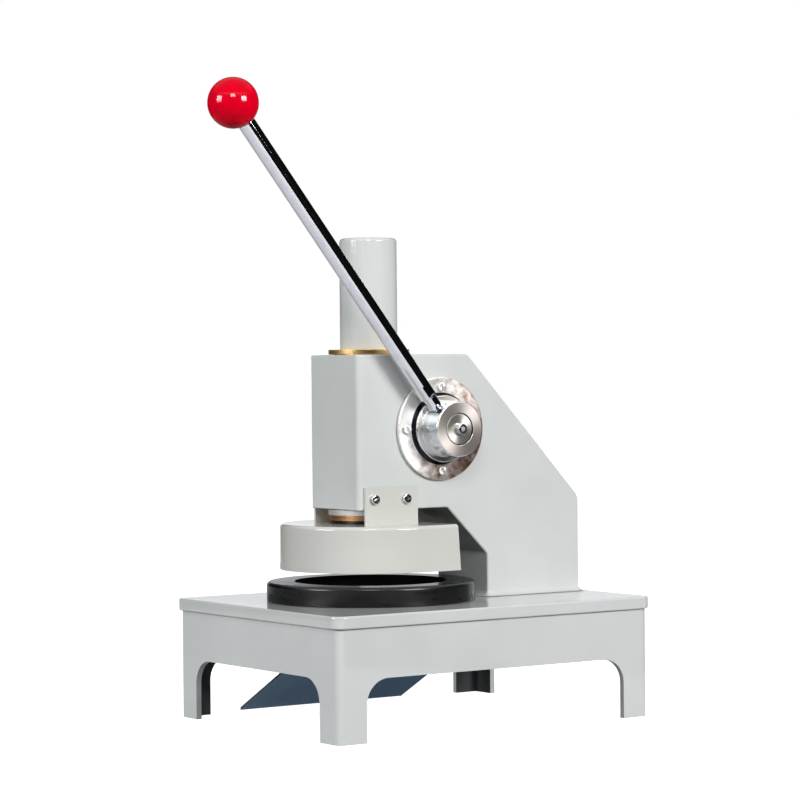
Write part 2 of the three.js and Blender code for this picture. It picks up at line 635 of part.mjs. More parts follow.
function cuttingBlade() {
  const top = HOLDER_BOTTOM - GAP;
  const outer = CUT_RADIUS - GAP;
  const edgeLand = 0.5;
  const bevelHeight = 9;
  const ring = turnedZ([
    [outer - edgeLand, BLADE_EDGE_Z], [outer, BLADE_EDGE_Z], [outer, top],
    [BLADE_INNER_RADIUS, top], [BLADE_INNER_RADIUS, BLADE_EDGE_Z + bevelHeight],
    [outer - edgeLand, BLADE_EDGE_Z],
  ], LARGE_SIDES);
  return cut(ring, ...bladeScrewPlaces.map(([x, y]) =>
    rodZ(2.5 + GAP, top - 8, top + 1).translate(x, y, 0)));
}

function addRam() {
  addPart(ramLine, "ram", ramWithRack(), bodyPaint);
  addPart(ramLine, "blade_holder", bladeHolder(), blackSteel);
  addPart(ramLine, "cutting_blade", cuttingBlade(), turnedSteel);
  addPart(ramLine, "holder_bolt", socketScrew(8, 10, 5, 28, 8), zinc,
    [0, 0, HOLDER_BOTTOM - GAP], HEAD_DOWN);
  bladeScrewPlaces.forEach(([x, y], i) => {
    addPart(ramLine, `blade_screw_${i + 1}`, countersunkScrew(5, 2.5, 2.5, 15), zinc,
      [x, y, HOLDER_TOP - GAP]);
  });
}

// ---------------------------------------------------------------- cross bearings

function rightBearingFlange() {
  const recessX = FLANGE_FACE_X - FLANGE_RECESS_DEPTH;
  const bore = SHAFT_BUSH_RADIUS + GAP;
  const body = turnedX([
    [bore, GEAR_HALF_WIDTH + 3], [FLANGE_SPIGOT_RADIUS, GEAR_HALF_WIDTH + 3],
    [FLANGE_SPIGOT_RADIUS, CROSS_BORE_RIGHT], [FLANGE_RADIUS, CROSS_BORE_RIGHT],
    [FLANGE_RADIUS, FLANGE_FACE_X], [FLANGE_RECESS_RADIUS, FLANGE_FACE_X],
    [FLANGE_RECESS_RADIUS, recessX], [bore, recessX], [bore, GEAR_HALF_WIDTH + 3],
  ]);
  return cut(body, ...flangeScrewPlaces.map(([y, z]) =>
    rodX(2 + GAP, CROSS_BORE_RIGHT - 1, FLANGE_FACE_X + 1).translate(0, y, z)));
}

function leftBearingCover() {
  const bore = SHAFT_BUSH_RADIUS + GAP;
  const bossRadius = SHAFT_BUSH_RADIUS + 4;
  const spigotX = CROSS_BORE_LEFT + 1.5;
  const body = turnedX([
    [0, -FLANGE_FACE_X], [FLANGE_RADIUS - 1, -FLANGE_FACE_X],
    [FLANGE_RADIUS, -FLANGE_FACE_X + 1], [FLANGE_RADIUS, CROSS_BORE_LEFT],
    [FLANGE_SPIGOT_RADIUS, CROSS_BORE_LEFT], [FLANGE_SPIGOT_RADIUS, spigotX],
    [bossRadius, spigotX], [bossRadius, -GEAR_HALF_WIDTH - 8],
    [bore, -GEAR_HALF_WIDTH - 8], [bore, CROSS_BORE_LEFT], [0, CROSS_BORE_LEFT],
  ]);
  return cut(body, ...flangeScrewPlaces.map(([y, z]) =>
    rodX(2 + GAP, -FLANGE_FACE_X - 1, CROSS_BORE_LEFT + 1).translate(0, y, z)));
}

class Helix extends THREE.Curve {
  getPoint(t, target = new THREE.Vector3()) {
    const angle = t * SPRING_TURNS * 2 * Math.PI;
    const along = t * SPRING_TURNS * SPRING_PITCH;
    return target.set(along, SPRING_RADIUS * Math.cos(angle), SPRING_RADIUS * Math.sin(angle));
  }
}

function returnSpring() {
  const section = new THREE.Shape();
  section.absarc(0, 0, SPRING_WIRE_RADIUS, 0, 2 * Math.PI);
  return new THREE.ExtrudeGeometry(section, {
    steps: SPRING_TURNS * 10, curveSegments: 3, extrudePath: new Helix(), bevelEnabled: false,
  });
}

function addBearings() {
  addPart(crossLine, "right_bearing_flange", rightBearingFlange(), brushedSteel);
  addPart(crossLine, "left_bearing_cover", leftBearingCover(), brushedSteel);
  addPart(crossLine, "right_shaft_bush", turnedX(ringProfile(
    SHAFT_RADIUS + GAP, SHAFT_BUSH_RADIUS, GEAR_HALF_WIDTH + 3,
    FLANGE_FACE_X - FLANGE_RECESS_DEPTH), SMALL_SIDES), brass);
  addPart(crossLine, "left_shaft_bush", turnedX(ringProfile(
    SHAFT_RADIUS + GAP, SHAFT_BUSH_RADIUS, CROSS_BORE_LEFT + GAP,
    -GEAR_HALF_WIDTH - 8), SMALL_SIDES), brass);
  addPart(crossLine, "return_spring", weld(returnSpring()), turnedSteel,
    [CROSS_BORE_LEFT + 1.5 + 2 * SPRING_WIRE_RADIUS, 0, 0]);
  flangeScrewPlaces.forEach(([y, z], i) => {
    addPart(crossLine, `right_flange_screw_${i + 1}`, panHeadScrew(3.8, 2.2, 2, 11), zinc,
      [FLANGE_FACE_X + GAP, y, z], HEAD_RIGHT);
    addPart(crossLine, `left_cover_screw_${i + 1}`, panHeadScrew(3.8, 2.2, 2, 11), zinc,
      [-FLANGE_FACE_X - GAP, y, z], HEAD_LEFT);
  });
}

// ---------------------------------------------------------------- pinion and lever

const keySeat = (x0, x1, gap) => box(x0 - gap, x1 + gap, -KEY_WIDTH / 2 - gap,
  KEY_WIDTH / 2 + gap, SHAFT_RADIUS - KEY_DEPTH - gap, SHAFT_RADIUS + KEY_STANDS + gap);

const GEAR_KEY = [-12, 12];
const HUB_KEY = [41, 57];

function pinionShaft() {
  const collarX = -GEAR_HALF_WIDTH - GAP;
  const collarRadius = SHAFT_BUSH_RADIUS + 3;
  const body = turnedX([
    [0, SHAFT_LEFT], [SHAFT_RADIUS, SHAFT_LEFT], [SHAFT_RADIUS, collarX - 3.5],
    [collarRadius, collarX - 3.5], [collarRadius, collarX], [SHAFT_RADIUS, collarX],
    [SHAFT_RADIUS, SHAFT_RIGHT], [0, SHAFT_RIGHT],
  ], SMALL_SIDES);
  const tapped = rodX(2.5 + GAP, SHAFT_RIGHT - 16, SHAFT_RIGHT + 1);
  return cut(body, keySeat(...GEAR_KEY, GAP), keySeat(...HUB_KEY, GAP), tapped);
}

// The involute outline of the pinion, in Y and Z, with one tooth pointing at the rack (-Y).
function pinionOutline() {
  const baseRadius = PITCH_RADIUS * Math.cos(PRESSURE_ANGLE);
  const rootRadius = PITCH_RADIUS - 1.25 * GEAR_MODULE;
  const tipRadius = PITCH_RADIUS + GEAR_MODULE;
  const involute = (angle) => Math.tan(angle) - angle;
  const halfAtPitch = Math.PI / (2 * GEAR_TEETH) - TOOTH_THINNING / 2 / PITCH_RADIUS;
  const halfAngle = (radius) => halfAtPitch + involute(PRESSURE_ANGLE)
    - involute(Math.acos(Math.min(1, baseRadius / radius)));
  const flank = [rootRadius, baseRadius, PITCH_RADIUS, (PITCH_RADIUS + tipRadius) / 2, tipRadius];
  const shape = new THREE.Shape();
  for (let tooth = 0; tooth < GEAR_TEETH; tooth += 1) {
    const middle = Math.PI + (tooth * 2 * Math.PI) / GEAR_TEETH;
    const rising = flank.map((radius) => [radius, middle - halfAngle(radius)]);
    const falling = flank.toReversed().map((radius) => [radius, middle + halfAngle(radius)]);
    [...rising, ...falling].forEach(([radius, angle], i) => {
      const point = [radius * Math.cos(angle), radius * Math.sin(angle)];
      if (tooth === 0 && i === 0) shape.moveTo(...point);
      else shape.lineTo(...point);
    });
  }
  return shape;
}

function pinionGear() {
  const body = extrudedAlongX(pinionOutline(), -GEAR_HALF_WIDTH, GEAR_HALF_WIDTH);
  const bore = rodX(SHAFT_RADIUS + GAP, -GEAR_HALF_WIDTH - 1, GEAR_HALF_WIDTH + 1, SMALL_SIDES);
  return cut(body, bore, keySeat(-GEAR_HALF_WIDTH - 1, GEAR_HALF_WIDTH + 1, GAP));
}

function leverHub() {
  const back = FLANGE_FACE_X - FLANGE_RECESS_DEPTH + GAP;
  const bore = SHAFT_RADIUS + GAP;
  const body = turnedX([
    [bore, back], [HUB_SHOULDER_RADIUS, back], [HUB_SHOULDER_RADIUS, HUB_SHOULDER_X],
    [HUB_RADIUS, HUB_SHOULDER_X], [HUB_RADIUS, HUB_FACE_X - 1], [HUB_RADIUS - 1, HUB_FACE_X],
    [HUB_COUNTERBORE_RADIUS, HUB_FACE_X], [HUB_COUNTERBORE_RADIUS, HUB_COUNTERBORE_X],
    [bore, HUB_COUNTERBORE_X], [bore, back],
  ]);
  const rodHole = rodZ(ROD_STUD_RADIUS + GAP, SHAFT_RADIUS, HUB_RADIUS + 5)
    .rotateX(LEVER_TILT).translate(LEVER_X, 0, 0);
  return cut(body, rodHole, keySeat(back - 1, HUB_KEY[1] + 1, GAP));
}

// Drawn along Z from the pinion's axis, and tilted forward where it is placed.
function leverRod() {
  const shaftEnd = LEVER_LENGTH - Math.sqrt(KNOB_RADIUS ** 2 - KNOB_FLAT_RADIUS ** 2) - GAP;
  const neckLow = HUB_RADIUS + 0.5;
  const neckHigh = neckLow + ROD_NECK_LENGTH;
  const body = turnedZ([
    [0, 13], [ROD_STUD_RADIUS, 13], [ROD_STUD_RADIUS, neckLow], [ROD_NECK_RADIUS, neckLow],
    [ROD_NECK_RADIUS, neckHigh], [ROD_RADIUS, neckHigh + 0.8],
    [ROD_RADIUS, shaftEnd], [ROD_STUD_RADIUS, shaftEnd],
    [ROD_STUD_RADIUS, shaftEnd + 14], [0, shaftEnd + 14],
  ], SMALL_SIDES);
  const flatHalf = 6;
  const flatLow = neckHigh + 1.7;
  const flatHigh = flatLow + 10.8;
  return cut(body,
    box(flatHalf, ROD_RADIUS + 1, -ROD_RADIUS, ROD_RADIUS, flatLow, flatHigh),
    box(-ROD_RADIUS - 1, -flatHalf, -ROD_RADIUS, ROD_RADIUS, flatLow, flatHigh));
}

function leverKnob() {
  const flatAngle = Math.asin(KNOB_FLAT_RADIUS / KNOB_RADIUS);
  const steps = 12;
  const bore = ROD_STUD_RADIUS + GAP;
  const flatHeight = -KNOB_RADIUS * Math.cos(flatAngle);
  const sphere = Array.from({ length: steps + 1 }, (_, i) => {
    const angle = flatAngle + ((Math.PI - flatAngle) * i) / steps;
    return [i === steps ? 0 : KNOB_RADIUS * Math.sin(angle), -KNOB_RADIUS * Math.cos(angle)];
  });
  return turnedZ([
    ...sphere, [0, flatHeight + 15], [bore, flatHeight + 15], [bore, flatHeight], sphere[0],
  ], SMALL_SIDES);
}

function addLever() {
  addPart(crossLine, "pinion_shaft", pinionShaft(), turnedSteel);
  addPart(crossLine, "pinion_gear", pinionGear(), turnedSteel);
  addPart(crossLine, "gear_key", keySeat(...GEAR_KEY, 0), turnedSteel);
  addPart(crossLine, "hub_key", keySeat(...HUB_KEY, 0), turnedSteel);
  addPart(crossLine, "lever_hub", leverHub(), brushedSteel);
  const capLow = HUB_COUNTERBORE_X + GAP;
  const capHigh = HUB_FACE_X - 0.5;
  addPart(crossLine, "hub_cap_disc", turnedX([
    [2.5 + GAP, capLow], [12.7, capLow], [12.7, capHigh - 0.8], [11.9, capHigh],
    [2.5 + GAP, capHigh], [2.5 + GAP, capLow],
  ], SMALL_SIDES), brushedSteel);
  addPart(crossLine, "hub_screw", socketScrew(4.25, 4.6, 2.5, 19, 4), zinc,
    [capHigh + GAP, 0, 0], HEAD_RIGHT);
  const lever = new THREE.Group();
  lever.position.x = LEVER_X;
  lever.rotation.x = LEVER_TILT;
  crossLine.add(lever);
  addPart(lever, "lever_rod", leverRod(), chrome);
  addPart(lever, "lever_knob", leverKnob(), redPlastic, [0, 0, LEVER_LENGTH]);
}

// ---------------------------------------------------------------- whole machine

addBase();
addDie();
addFrame();
addGuides();
addGuard();
addRam();
addBearings();
addLever();

const knobFront = AXIS_Y - LEVER_LENGTH * Math.sin(LEVER_TILT) - KNOB_RADIUS;
machine.position.y = -(knobFront + BASE_LENGTH / 2) / 2;

export default machine;
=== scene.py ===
"""Looks of the round sample cutter press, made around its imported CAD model.

Metres, +Z up. Places come from the boxes of the CAD nodes. Sizes that a box doesn't give, such as
the radius of an edge, are the named values below.
"""

import json
import math

import bmesh
import bpy
from mathutils import Matrix, Vector


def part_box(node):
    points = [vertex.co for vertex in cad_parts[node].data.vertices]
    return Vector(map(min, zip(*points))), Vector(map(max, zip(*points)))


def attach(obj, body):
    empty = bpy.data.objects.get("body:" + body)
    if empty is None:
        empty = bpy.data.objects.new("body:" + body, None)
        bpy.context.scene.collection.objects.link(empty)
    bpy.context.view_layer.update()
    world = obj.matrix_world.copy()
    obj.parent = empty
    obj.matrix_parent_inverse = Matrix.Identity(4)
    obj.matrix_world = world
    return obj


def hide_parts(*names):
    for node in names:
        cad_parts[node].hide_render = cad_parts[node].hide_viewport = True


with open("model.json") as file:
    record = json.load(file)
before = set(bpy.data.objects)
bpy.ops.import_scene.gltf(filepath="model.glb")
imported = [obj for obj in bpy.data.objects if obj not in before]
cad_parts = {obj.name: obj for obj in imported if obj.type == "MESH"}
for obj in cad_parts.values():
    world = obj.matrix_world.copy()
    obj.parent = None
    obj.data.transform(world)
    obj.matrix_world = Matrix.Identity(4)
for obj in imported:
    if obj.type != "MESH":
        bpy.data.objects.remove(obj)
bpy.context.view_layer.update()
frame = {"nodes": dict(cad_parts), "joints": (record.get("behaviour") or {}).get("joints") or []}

# -------------------- sizes

GAP = 0.0003  # between two pieces that touch, as in the CAD model
PAST = 0.01  # how far a cutting tool runs past the surface it leaves by
CRISP_EDGE, SOFT_EDGE = 0.0003, 0.0005  # radii of machined edges
SIDES, FINE_SIDES = 96, 128  # of turned pieces
M4_HOLE, M5_HOLE, M6_HOLE, M10_HOLE = 0.0023, 0.0028, 0.0033, 0.0053  # radii

PLATE_CORNER = 0.010
PLATE_EDGE = 0.0014
SKIRT_WALL = 0.005
SKIRT_CORNER = 0.007
SKIRT_EDGE = 0.0012
SKIRT_SHADE_MARGIN = 0.0002  # past the inner walls, to where the painted shade of the inside reaches
ARCH_HEIGHT = 0.049
ARCH_RADIUS = 0.020
LEG_WIDTH = 0.0263
LUG_SIZE = 0.019
LUG_THICKNESS = 0.008

PLATE_SCREW_DEPTH = 0.0075

CUT_RADIUS = 0.0625
PLATE_HOLE_EXTRA = 0.001  # by which the hole in the plate is wider
DIE_EDGE = 0.0028
DIE_BOLT_DEPTH = 0.010

HEAD_TOP_LENGTH = 0.1086
HEAD_BOTTOM_LENGTH = 0.0871
THROAT_DEPTH = 0.1269
THROAT_KNEE_HEIGHT = 0.1337
BACK_CORNER_HEIGHT = 0.1785
HEAD_FRONT_EDGE = 0.0046
CASTING_EDGE = 0.0017
FOOT_FILLET = 0.0055
FILLET_SINK = 0.00008  # by which the fillet starts inside the column, to join it
RAM_BORE = 0.0283
CROSS_BORE = 0.029
FRAME_BOLT_DEPTH = 0.026
GUARD_SCREW_DEPTH = 0.006
FLANGE_SCREW_DEPTH = 0.009

BUSH_FLANGE = 0.0039
BUSH_EDGE = 0.0004

RAM_EDGE = 0.003
HOLDER_BOLT_DEPTH = 0.025
RACK_PITCH = 0.002 * math.pi
RACK_TEETH = 11
RACK_RISE = 0.01125  # of the rack's middle above the pinion
PITCH_RADIUS = 0.024
GEAR_MODULE = 0.002
PRESSURE_ANGLE = math.radians(20)
RACK_PLAY = 0.0001
DEDENDUM = 1.25 * GEAR_MODULE

HOLDER_PLATE_TOP = 0.158
HOLDER_BOSS_RADIUS = 0.032
BLADE_EDGE_WIDTH = 0.0005
BLADE_INSIDE_TOP = 0.052
BLADE_BEVEL_HEIGHT = 0.009
BLADE_SCREW_DEPTH = 0.008

GUARD_TOP = 0.1615
GUARD_SHEET = 0.002
GUARD_BEND = 0.003
GUARD_BACK_SLANT = 0.0025
GUARD_HOLE = 0.0335  # the radius of the hole around the holder's boss
GUARD_EDGE = 0.00055
TAB_MARGIN_FRONT = 0.0046  # from the screw heads to the tab's edge
TAB_MARGIN_BACK = 0.0077
TAB_CORNER = 0.0012

COVER_THICKNESS = 0.003
SPIGOT_RADIUS = 0.0287
SHAFT_BUSH_HOLE = 0.0153
COVER_INSIDE = 0.019
COVER_SHOULDER = 0.0015
RECESS_RADIUS = 0.02935
RECESS_DEPTH = 0.0016
RECESS_SHADE_MARGIN = 0.00015  # past the recess's rim, to where its painted black shade reaches
SCREW_RING = (0.0035, 0.0046)  # its inner and outer radius
SCREW_RING_DEPTH = 0.0005

HUB_RADIUS = 0.0225
HUB_SHOULDER_LENGTH = 0.0068
HUB_COUNTERBORE = 0.013
HUB_COUNTERBORE_DEPTH = 0.0051
HUB_COUNTERBORE_SHADE_MARGIN = 0.0001  # past its wall, to where its painted black shade reaches
HUB_BORE = 0.0103
CAP_SCREW_HOLE = 0.0028
LEVER_X = 0.0508
ROD_RADIUS = 0.007
STUD_RADIUS = 0.005
NECK_START = 0.0005  # from the hub
NECK_RADIUS = 0.0059
NECK_LENGTH = 0.010
NECK_CONE = 0.0008
WRENCH_FLAT_HALF = 0.006
WRENCH_FLATS = (0.0017, 0.0125)  # from the neck's end
STUD_FOOT = 0.013  # from the shaft's axis
STUD_IN_KNOB = 0.014
KNOB_HOLE_DEPTH = 0.015
KNOB_FLAT_RADIUS = 0.0085
KNOB_SLACK = 0.00005  # by which the ball is smaller than its CAD node, to stay inside its box

CHUTE_SHEET = 0.002
CHUTE_SLOPE = 0.54
CHUTE_CORNER = 0.0015
CHUTE_BEND, CHUTE_BEND_ABOVE = 0.004, 0.006

# Screws: the head's radius and height, the shank's radius, and the hexagon's width across flats
M4_PAN = {"radius": 0.004, "height": 0.0026, "shank": 0.002}
M4_SMALL_PAN = {"radius": 0.0038, "height": 0.0022, "shank": 0.002}
M5_SOCKET = {"radius": 0.00425, "height": 0.0046, "shank": 0.0025, "key": 0.004}
M6_SOCKET = {"radius": 0.005, "height": 0.006, "shank": 0.003, "key": 0.005}
M10_SOCKET = {"radius": 0.008, "height": 0.010, "shank": 0.005, "key": 0.008}
M5_COUNTERSUNK = {"radius": 0.005, "shank": 0.0025}
COUNTERSUNK_HEXAGON = 0.0017  # from its middle to a corner

SHARP_ANGLE = math.radians(38)  # edges sharper than this aren't shaded smooth

# The camera stands where the photograph's camera stood.
CAMERA_AZIMUTH = math.radians(55.578)
CAMERA_ELEVATION = math.radians(0.412)
CAMERA_ROLL = math.radians(-0.5266)
CAMERA_PLACE = (1.89079, -1.277825, 0.28127)
CAMERA_LENS, CAMERA_SENSOR = 125.55, 36  # millimetres
CAMERA_SHIFT = (0.0042, -0.0057)

# -------------------- places from the frame

hinge = next(joint for joint in frame["joints"] if joint["name"] == "lever_swing")
PINION = Vector(hinge["pos_m"])


def centre_of(node):
    low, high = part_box(node)
    return (low + high) / 2


def numbered(name, count):
    return [f"{name}_{i + 1}" for i in range(count)]


BASE_SCREWS = numbered("base_screw", 4)
DIE_BOLTS = numbered("die_bolt", 4)
FRAME_BOLTS = numbered("frame_bolt", 4)
CHUTE_SCREWS = numbered("chute_screw", 2)
RIGHT_GUARD_SCREWS = numbered("right_guard_screw", 2)
LEFT_GUARD_SCREWS = numbered("left_guard_screw", 2)
FLANGE_SCREWS = numbered("right_flange_screw", 4)
COVER_SCREWS = numbered("left_cover_screw", 4)
BLADE_SCREWS = numbered("blade_screw", 4)

CUT_LINE = centre_of("die_ring")
knob_low, knob_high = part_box("lever_knob")
KNOB_RADIUS = (knob_high.x - knob_low.x) / 2
KNOB_CENTRE = Vector((LEVER_X, knob_low.y + KNOB_RADIUS, knob_high.z - KNOB_RADIUS))
LEVER_FOOT = Vector((LEVER_X, PINION.y, PINION.z))
LEVER_LENGTH = (KNOB_CENTRE - LEVER_FOOT).length
LEVER_TILT = math.atan2(LEVER_FOOT.y - KNOB_CENTRE.y, KNOB_CENTRE.z - LEVER_FOOT.z)
KNOB_FLAT_ANGLE = math.asin(KNOB_FLAT_RADIUS / KNOB_RADIUS)


def upright(x, y, z=0.0, turn=0.0):
    """A piece's own Z stays up."""
    return Matrix.Translation((x, y, z)) @ Matrix.Rotation(turn, 4, "Z")


def hanging(x, y, z, turn=0.0):
    """A piece's own Z points down."""
    return Matrix.Translation((x, y, z)) @ Matrix.Rotation(math.pi, 4, "X") @ upright(0, 0, 0, turn)


def sideways(x, y, z, side=1, turn=0.0):
    """A piece's own Z points to the right (side 1) or to the left (side -1)."""
    lay = Matrix.Rotation(side * math.pi / 2, 4, "Y")
    return Matrix.Translation((x, y, z)) @ lay @ upright(0, 0, 0, turn)


ON_CUT_LINE = upright(CUT_LINE.x, CUT_LINE.y)
ON_CROSS_LINE = sideways(0, PINION.y, PINION.z)
ON_LEVER = Matrix.Translation(LEVER_FOOT) @ Matrix.Rotation(LEVER_TILT, 4, "X")

# -------------------- camera


def add_camera():
    azimuth, elevation, roll = CAMERA_AZIMUTH, CAMERA_ELEVATION, CAMERA_ROLL
    level = Vector((math.cos(azimuth), math.sin(azimuth), 0))
    back = Vector((math.sin(azimuth) * math.cos(elevation),
                   -math.cos(azimuth) * math.cos(elevation), math.sin(elevation)))
    rise = back.cross(level)
    right = math.cos(roll) * level + math.sin(roll) * rise
    up = math.cos(roll) * rise - math.sin(roll) * level
    data = bpy.data.cameras.new("camera")
    data.lens = CAMERA_LENS
    data.sensor_width = CAMERA_SENSOR
    data.shift_x, data.shift_y = CAMERA_SHIFT
    camera = bpy.data.objects.new("camera", data)
    camera.matrix_world = Matrix((right, up, back)).transposed().to_4x4()
    camera.location = CAMERA_PLACE
    bpy.context.scene.collection.objects.link(camera)
    bpy.context.scene.camera = camera


add_camera()

# -------------------- outlines


def rounded(corners, closed=True, step=math.radians(9)):
    """The points of an outline of (a, b) or (a, b, radius) corners, each radius as an arc."""
    points = []
    for i, (a, b, *radius) in enumerate(corners):
        here = Vector((a, b))
        if not radius or (not closed and i in (0, len(corners) - 1)):
            points.append(here)
            continue
        before = (Vector(corners[i - 1][:2]) - here).normalized()
        after = (Vector(corners[(i + 1) % len(corners)][:2]) - here).normalized()
        half = before.angle(after) / 2
        centre = here + (before + after).normalized() * radius[0] / math.sin(half)
        start = here + before * radius[0] / math.tan(half) - centre
        end = here + after * radius[0] / math.tan(half) - centre
        sweep = math.atan2(start.x * end.y - start.y * end.x, start.dot(end))
        count = max(2, round(abs(sweep) / step))
        for k in range(count + 1):
            points.append(centre + Matrix.Rotation(sweep * k / count, 2) @ start)
    return points


def rectangle(half_a, half_b, radius=0.0, centre=(0, 0)):
    a, b = centre
    signs = ((1, -1), (1, 1), (-1, 1), (-1, -1))
    corners = [(a + s * half_a, b + t * half_b, radius) if radius else (a + s * half_a, b + t * half_b)
               for s, t in signs]
    return rounded(corners)


def polygon(sides, radius):
    angles = [2 * math.pi * k / sides for k in range(sides)]
    return [Vector((radius * math.cos(a), radius * math.sin(a))) for a in angles]


# -------------------- solids


def new_piece(name, vertices, faces, placement=None):
    mesh = bpy.data.meshes.new(name)
    mesh.from_pydata([tuple(vertex) for vertex in vertices], [], faces)
    form = bmesh.new()
    form.from_mesh(mesh)
    bmesh.ops.remove_doubles(form, verts=form.verts, dist=1e-7)
    bmesh.ops.dissolve_degenerate(form, edges=form.edges, dist=1e-8)
    bmesh.ops.recalc_face_normals(form, faces=form.faces)
    form.to_mesh(mesh)
    form.free()
    piece = bpy.data.objects.new(name, mesh)
    bpy.context.scene.collection.objects.link(piece)
    if placement is not None:
        piece.matrix_world = placement
    return piece


def loft(name, loops, placement=None, ring=False, caps=True):
    """Joins loops of equally many points. A ring closes on itself, and caps close both ends."""
    count = len(loops[0])
    faces = []
    for i in range(len(loops) if ring else len(loops) - 1):
        a, b = i * count, (i + 1) % len(loops) * count
        faces += [(a + k, a + (k + 1) % count, b + (k + 1) % count, b + k) for k in range(count)]
    if caps and not ring:
        last = (len(loops) - 1) * count
        faces += [tuple(range(count)), tuple(range(last, last + count))]
    return new_piece(name, [point for loop in loops for point in loop], faces, placement)


def lathe(name, profile, placement, sides=SIDES, ring=False):
    """Turns (radius, height) points about the placement's own Z."""
    angles = [2 * math.pi * k / sides for k in range(sides)]
    loops = [[(r * math.cos(a), r * math.sin(a), h) for a in angles] for r, h in profile]
    return loft(name, loops, placement, ring, caps=False)


def turned_ring(name, corners, placement, sides=SIDES):
    return lathe(name, rounded(corners), placement, sides, ring=True)


def turned_solid(name, corners, placement, sides=SIDES):
    """The first and the last corner lie on the axis."""
    return lathe(name, rounded(corners, closed=False), placement, sides)


def prism(name, outline, low, high, plane="XY"):
    """An outline drawn in a plane of the frame, run from low to high across it."""
    place = {"XY": lambda a, b, h: (a, b, h), "YZ": lambda a, b, h: (h, a, b),
             "XZ": lambda a, b, h: (a, h, b)}[plane]
    return loft(name, [[place(a, b, h) for a, b in outline] for h in (low, high)])


def slab(name, low, high, corner, edge, steps=5):
    """A plate with round upright corners and softened upper and lower edges."""
    middle, half = (low + high) / 2, (high - low) / 2
    arc = [math.pi / 2 * k / steps for k in range(steps + 1)]
    sections = [(edge * (1 - math.sin(t)), low.z + edge * (1 - math.cos(t))) for t in arc]
    sections += [(edge * (1 - math.sin(t)), high.z - edge * (1 - math.cos(t))) for t in reversed(arc)]
    loops = []
    for inset, z in sections:
        outline = rectangle(half.x - inset, half.y - inset, corner - inset, middle[:2])
        loops.append([(a, b, z) for a, b in outline])
    return loft(name, loops)


def cylinder(radius, low, high, placement, sides=48):
    return turned_solid("tool", [(0, low), (radius, low), (radius, high), (0, high)], placement, sides)


def merged(tools):
    """One tool out of several that don't touch."""
    bpy.context.view_layer.update()
    vertices, faces = [], []
    for tool in tools:
        start = len(vertices)
        vertices += [tool.matrix_world @ vertex.co for vertex in tool.data.vertices]
        faces += [[start + k for k in face.vertices] for face in tool.data.polygons]
        bpy.data.objects.remove(tool)
    return new_piece("tool", vertices, faces)


def settle(piece):
    """Applies the piece's modifiers."""
    bpy.context.view_layer.update()
    graph = bpy.context.evaluated_depsgraph_get()
    mesh = bpy.data.meshes.new_from_object(piece.evaluated_get(graph))
    piece.modifiers.clear()
    piece.data = mesh
    mesh.name = piece.name
    return piece


def combine(piece, tool, operation="DIFFERENCE"):
    step = piece.modifiers.new("step", "BOOLEAN")
    step.object = tool
    step.operation = operation
    step.solver = "EXACT"
    settle(piece)
    bpy.data.objects.remove(tool)
    return piece


def carve(piece, *tools):
    for tool in tools:
        combine(piece, tool)
    return piece


def soften(piece, width, segments=3, angle=50, weighted=False):
    """Rounds the piece's edges: those sharper than the angle, or those that carry a weight."""
    step = piece.modifiers.new("step", "BEVEL")
    step.width = width
    step.segments = segments
    step.limit_method = "WEIGHT" if weighted else "ANGLE"
    step.angle_limit = math.radians(angle)
    step.miter_outer = "MITER_ARC"
    return settle(piece)


def bake(piece):
    """Moves the piece's placement into its mesh."""
    piece.data.transform(piece.matrix_world)
    piece.matrix_world = Matrix.Identity(4)
    return piece


def copy_of(piece, name, placement):
    twin = bpy.data.objects.new(name, piece.data.copy())
    bpy.context.scene.collection.objects.link(twin)
    twin.matrix_world = placement
    return twin


# -------------------- finishes


def display(red, green, blue):
    """The linear colour of 8-bit display values."""
    linear = [((c / 255 + 0.055) / 1.055) ** 2.4 if c > 10 else c / 255 / 12.92
              for c in (red, green, blue)]
    return (*linear, 1.0)


def add_node(tree, kind, inputs=None, **settings):
    """Each input is a value, or the socket that feeds it."""
    node = tree.nodes.new(kind)
    for key, value in settings.items():
        setattr(node, key, value)
    for key, value in (inputs or {}).items():
        if isinstance(value, bpy.types.NodeSocket):
            tree.links.new(value, node.inputs[key])
        else:
            node.inputs[key].default_value = value
    return node


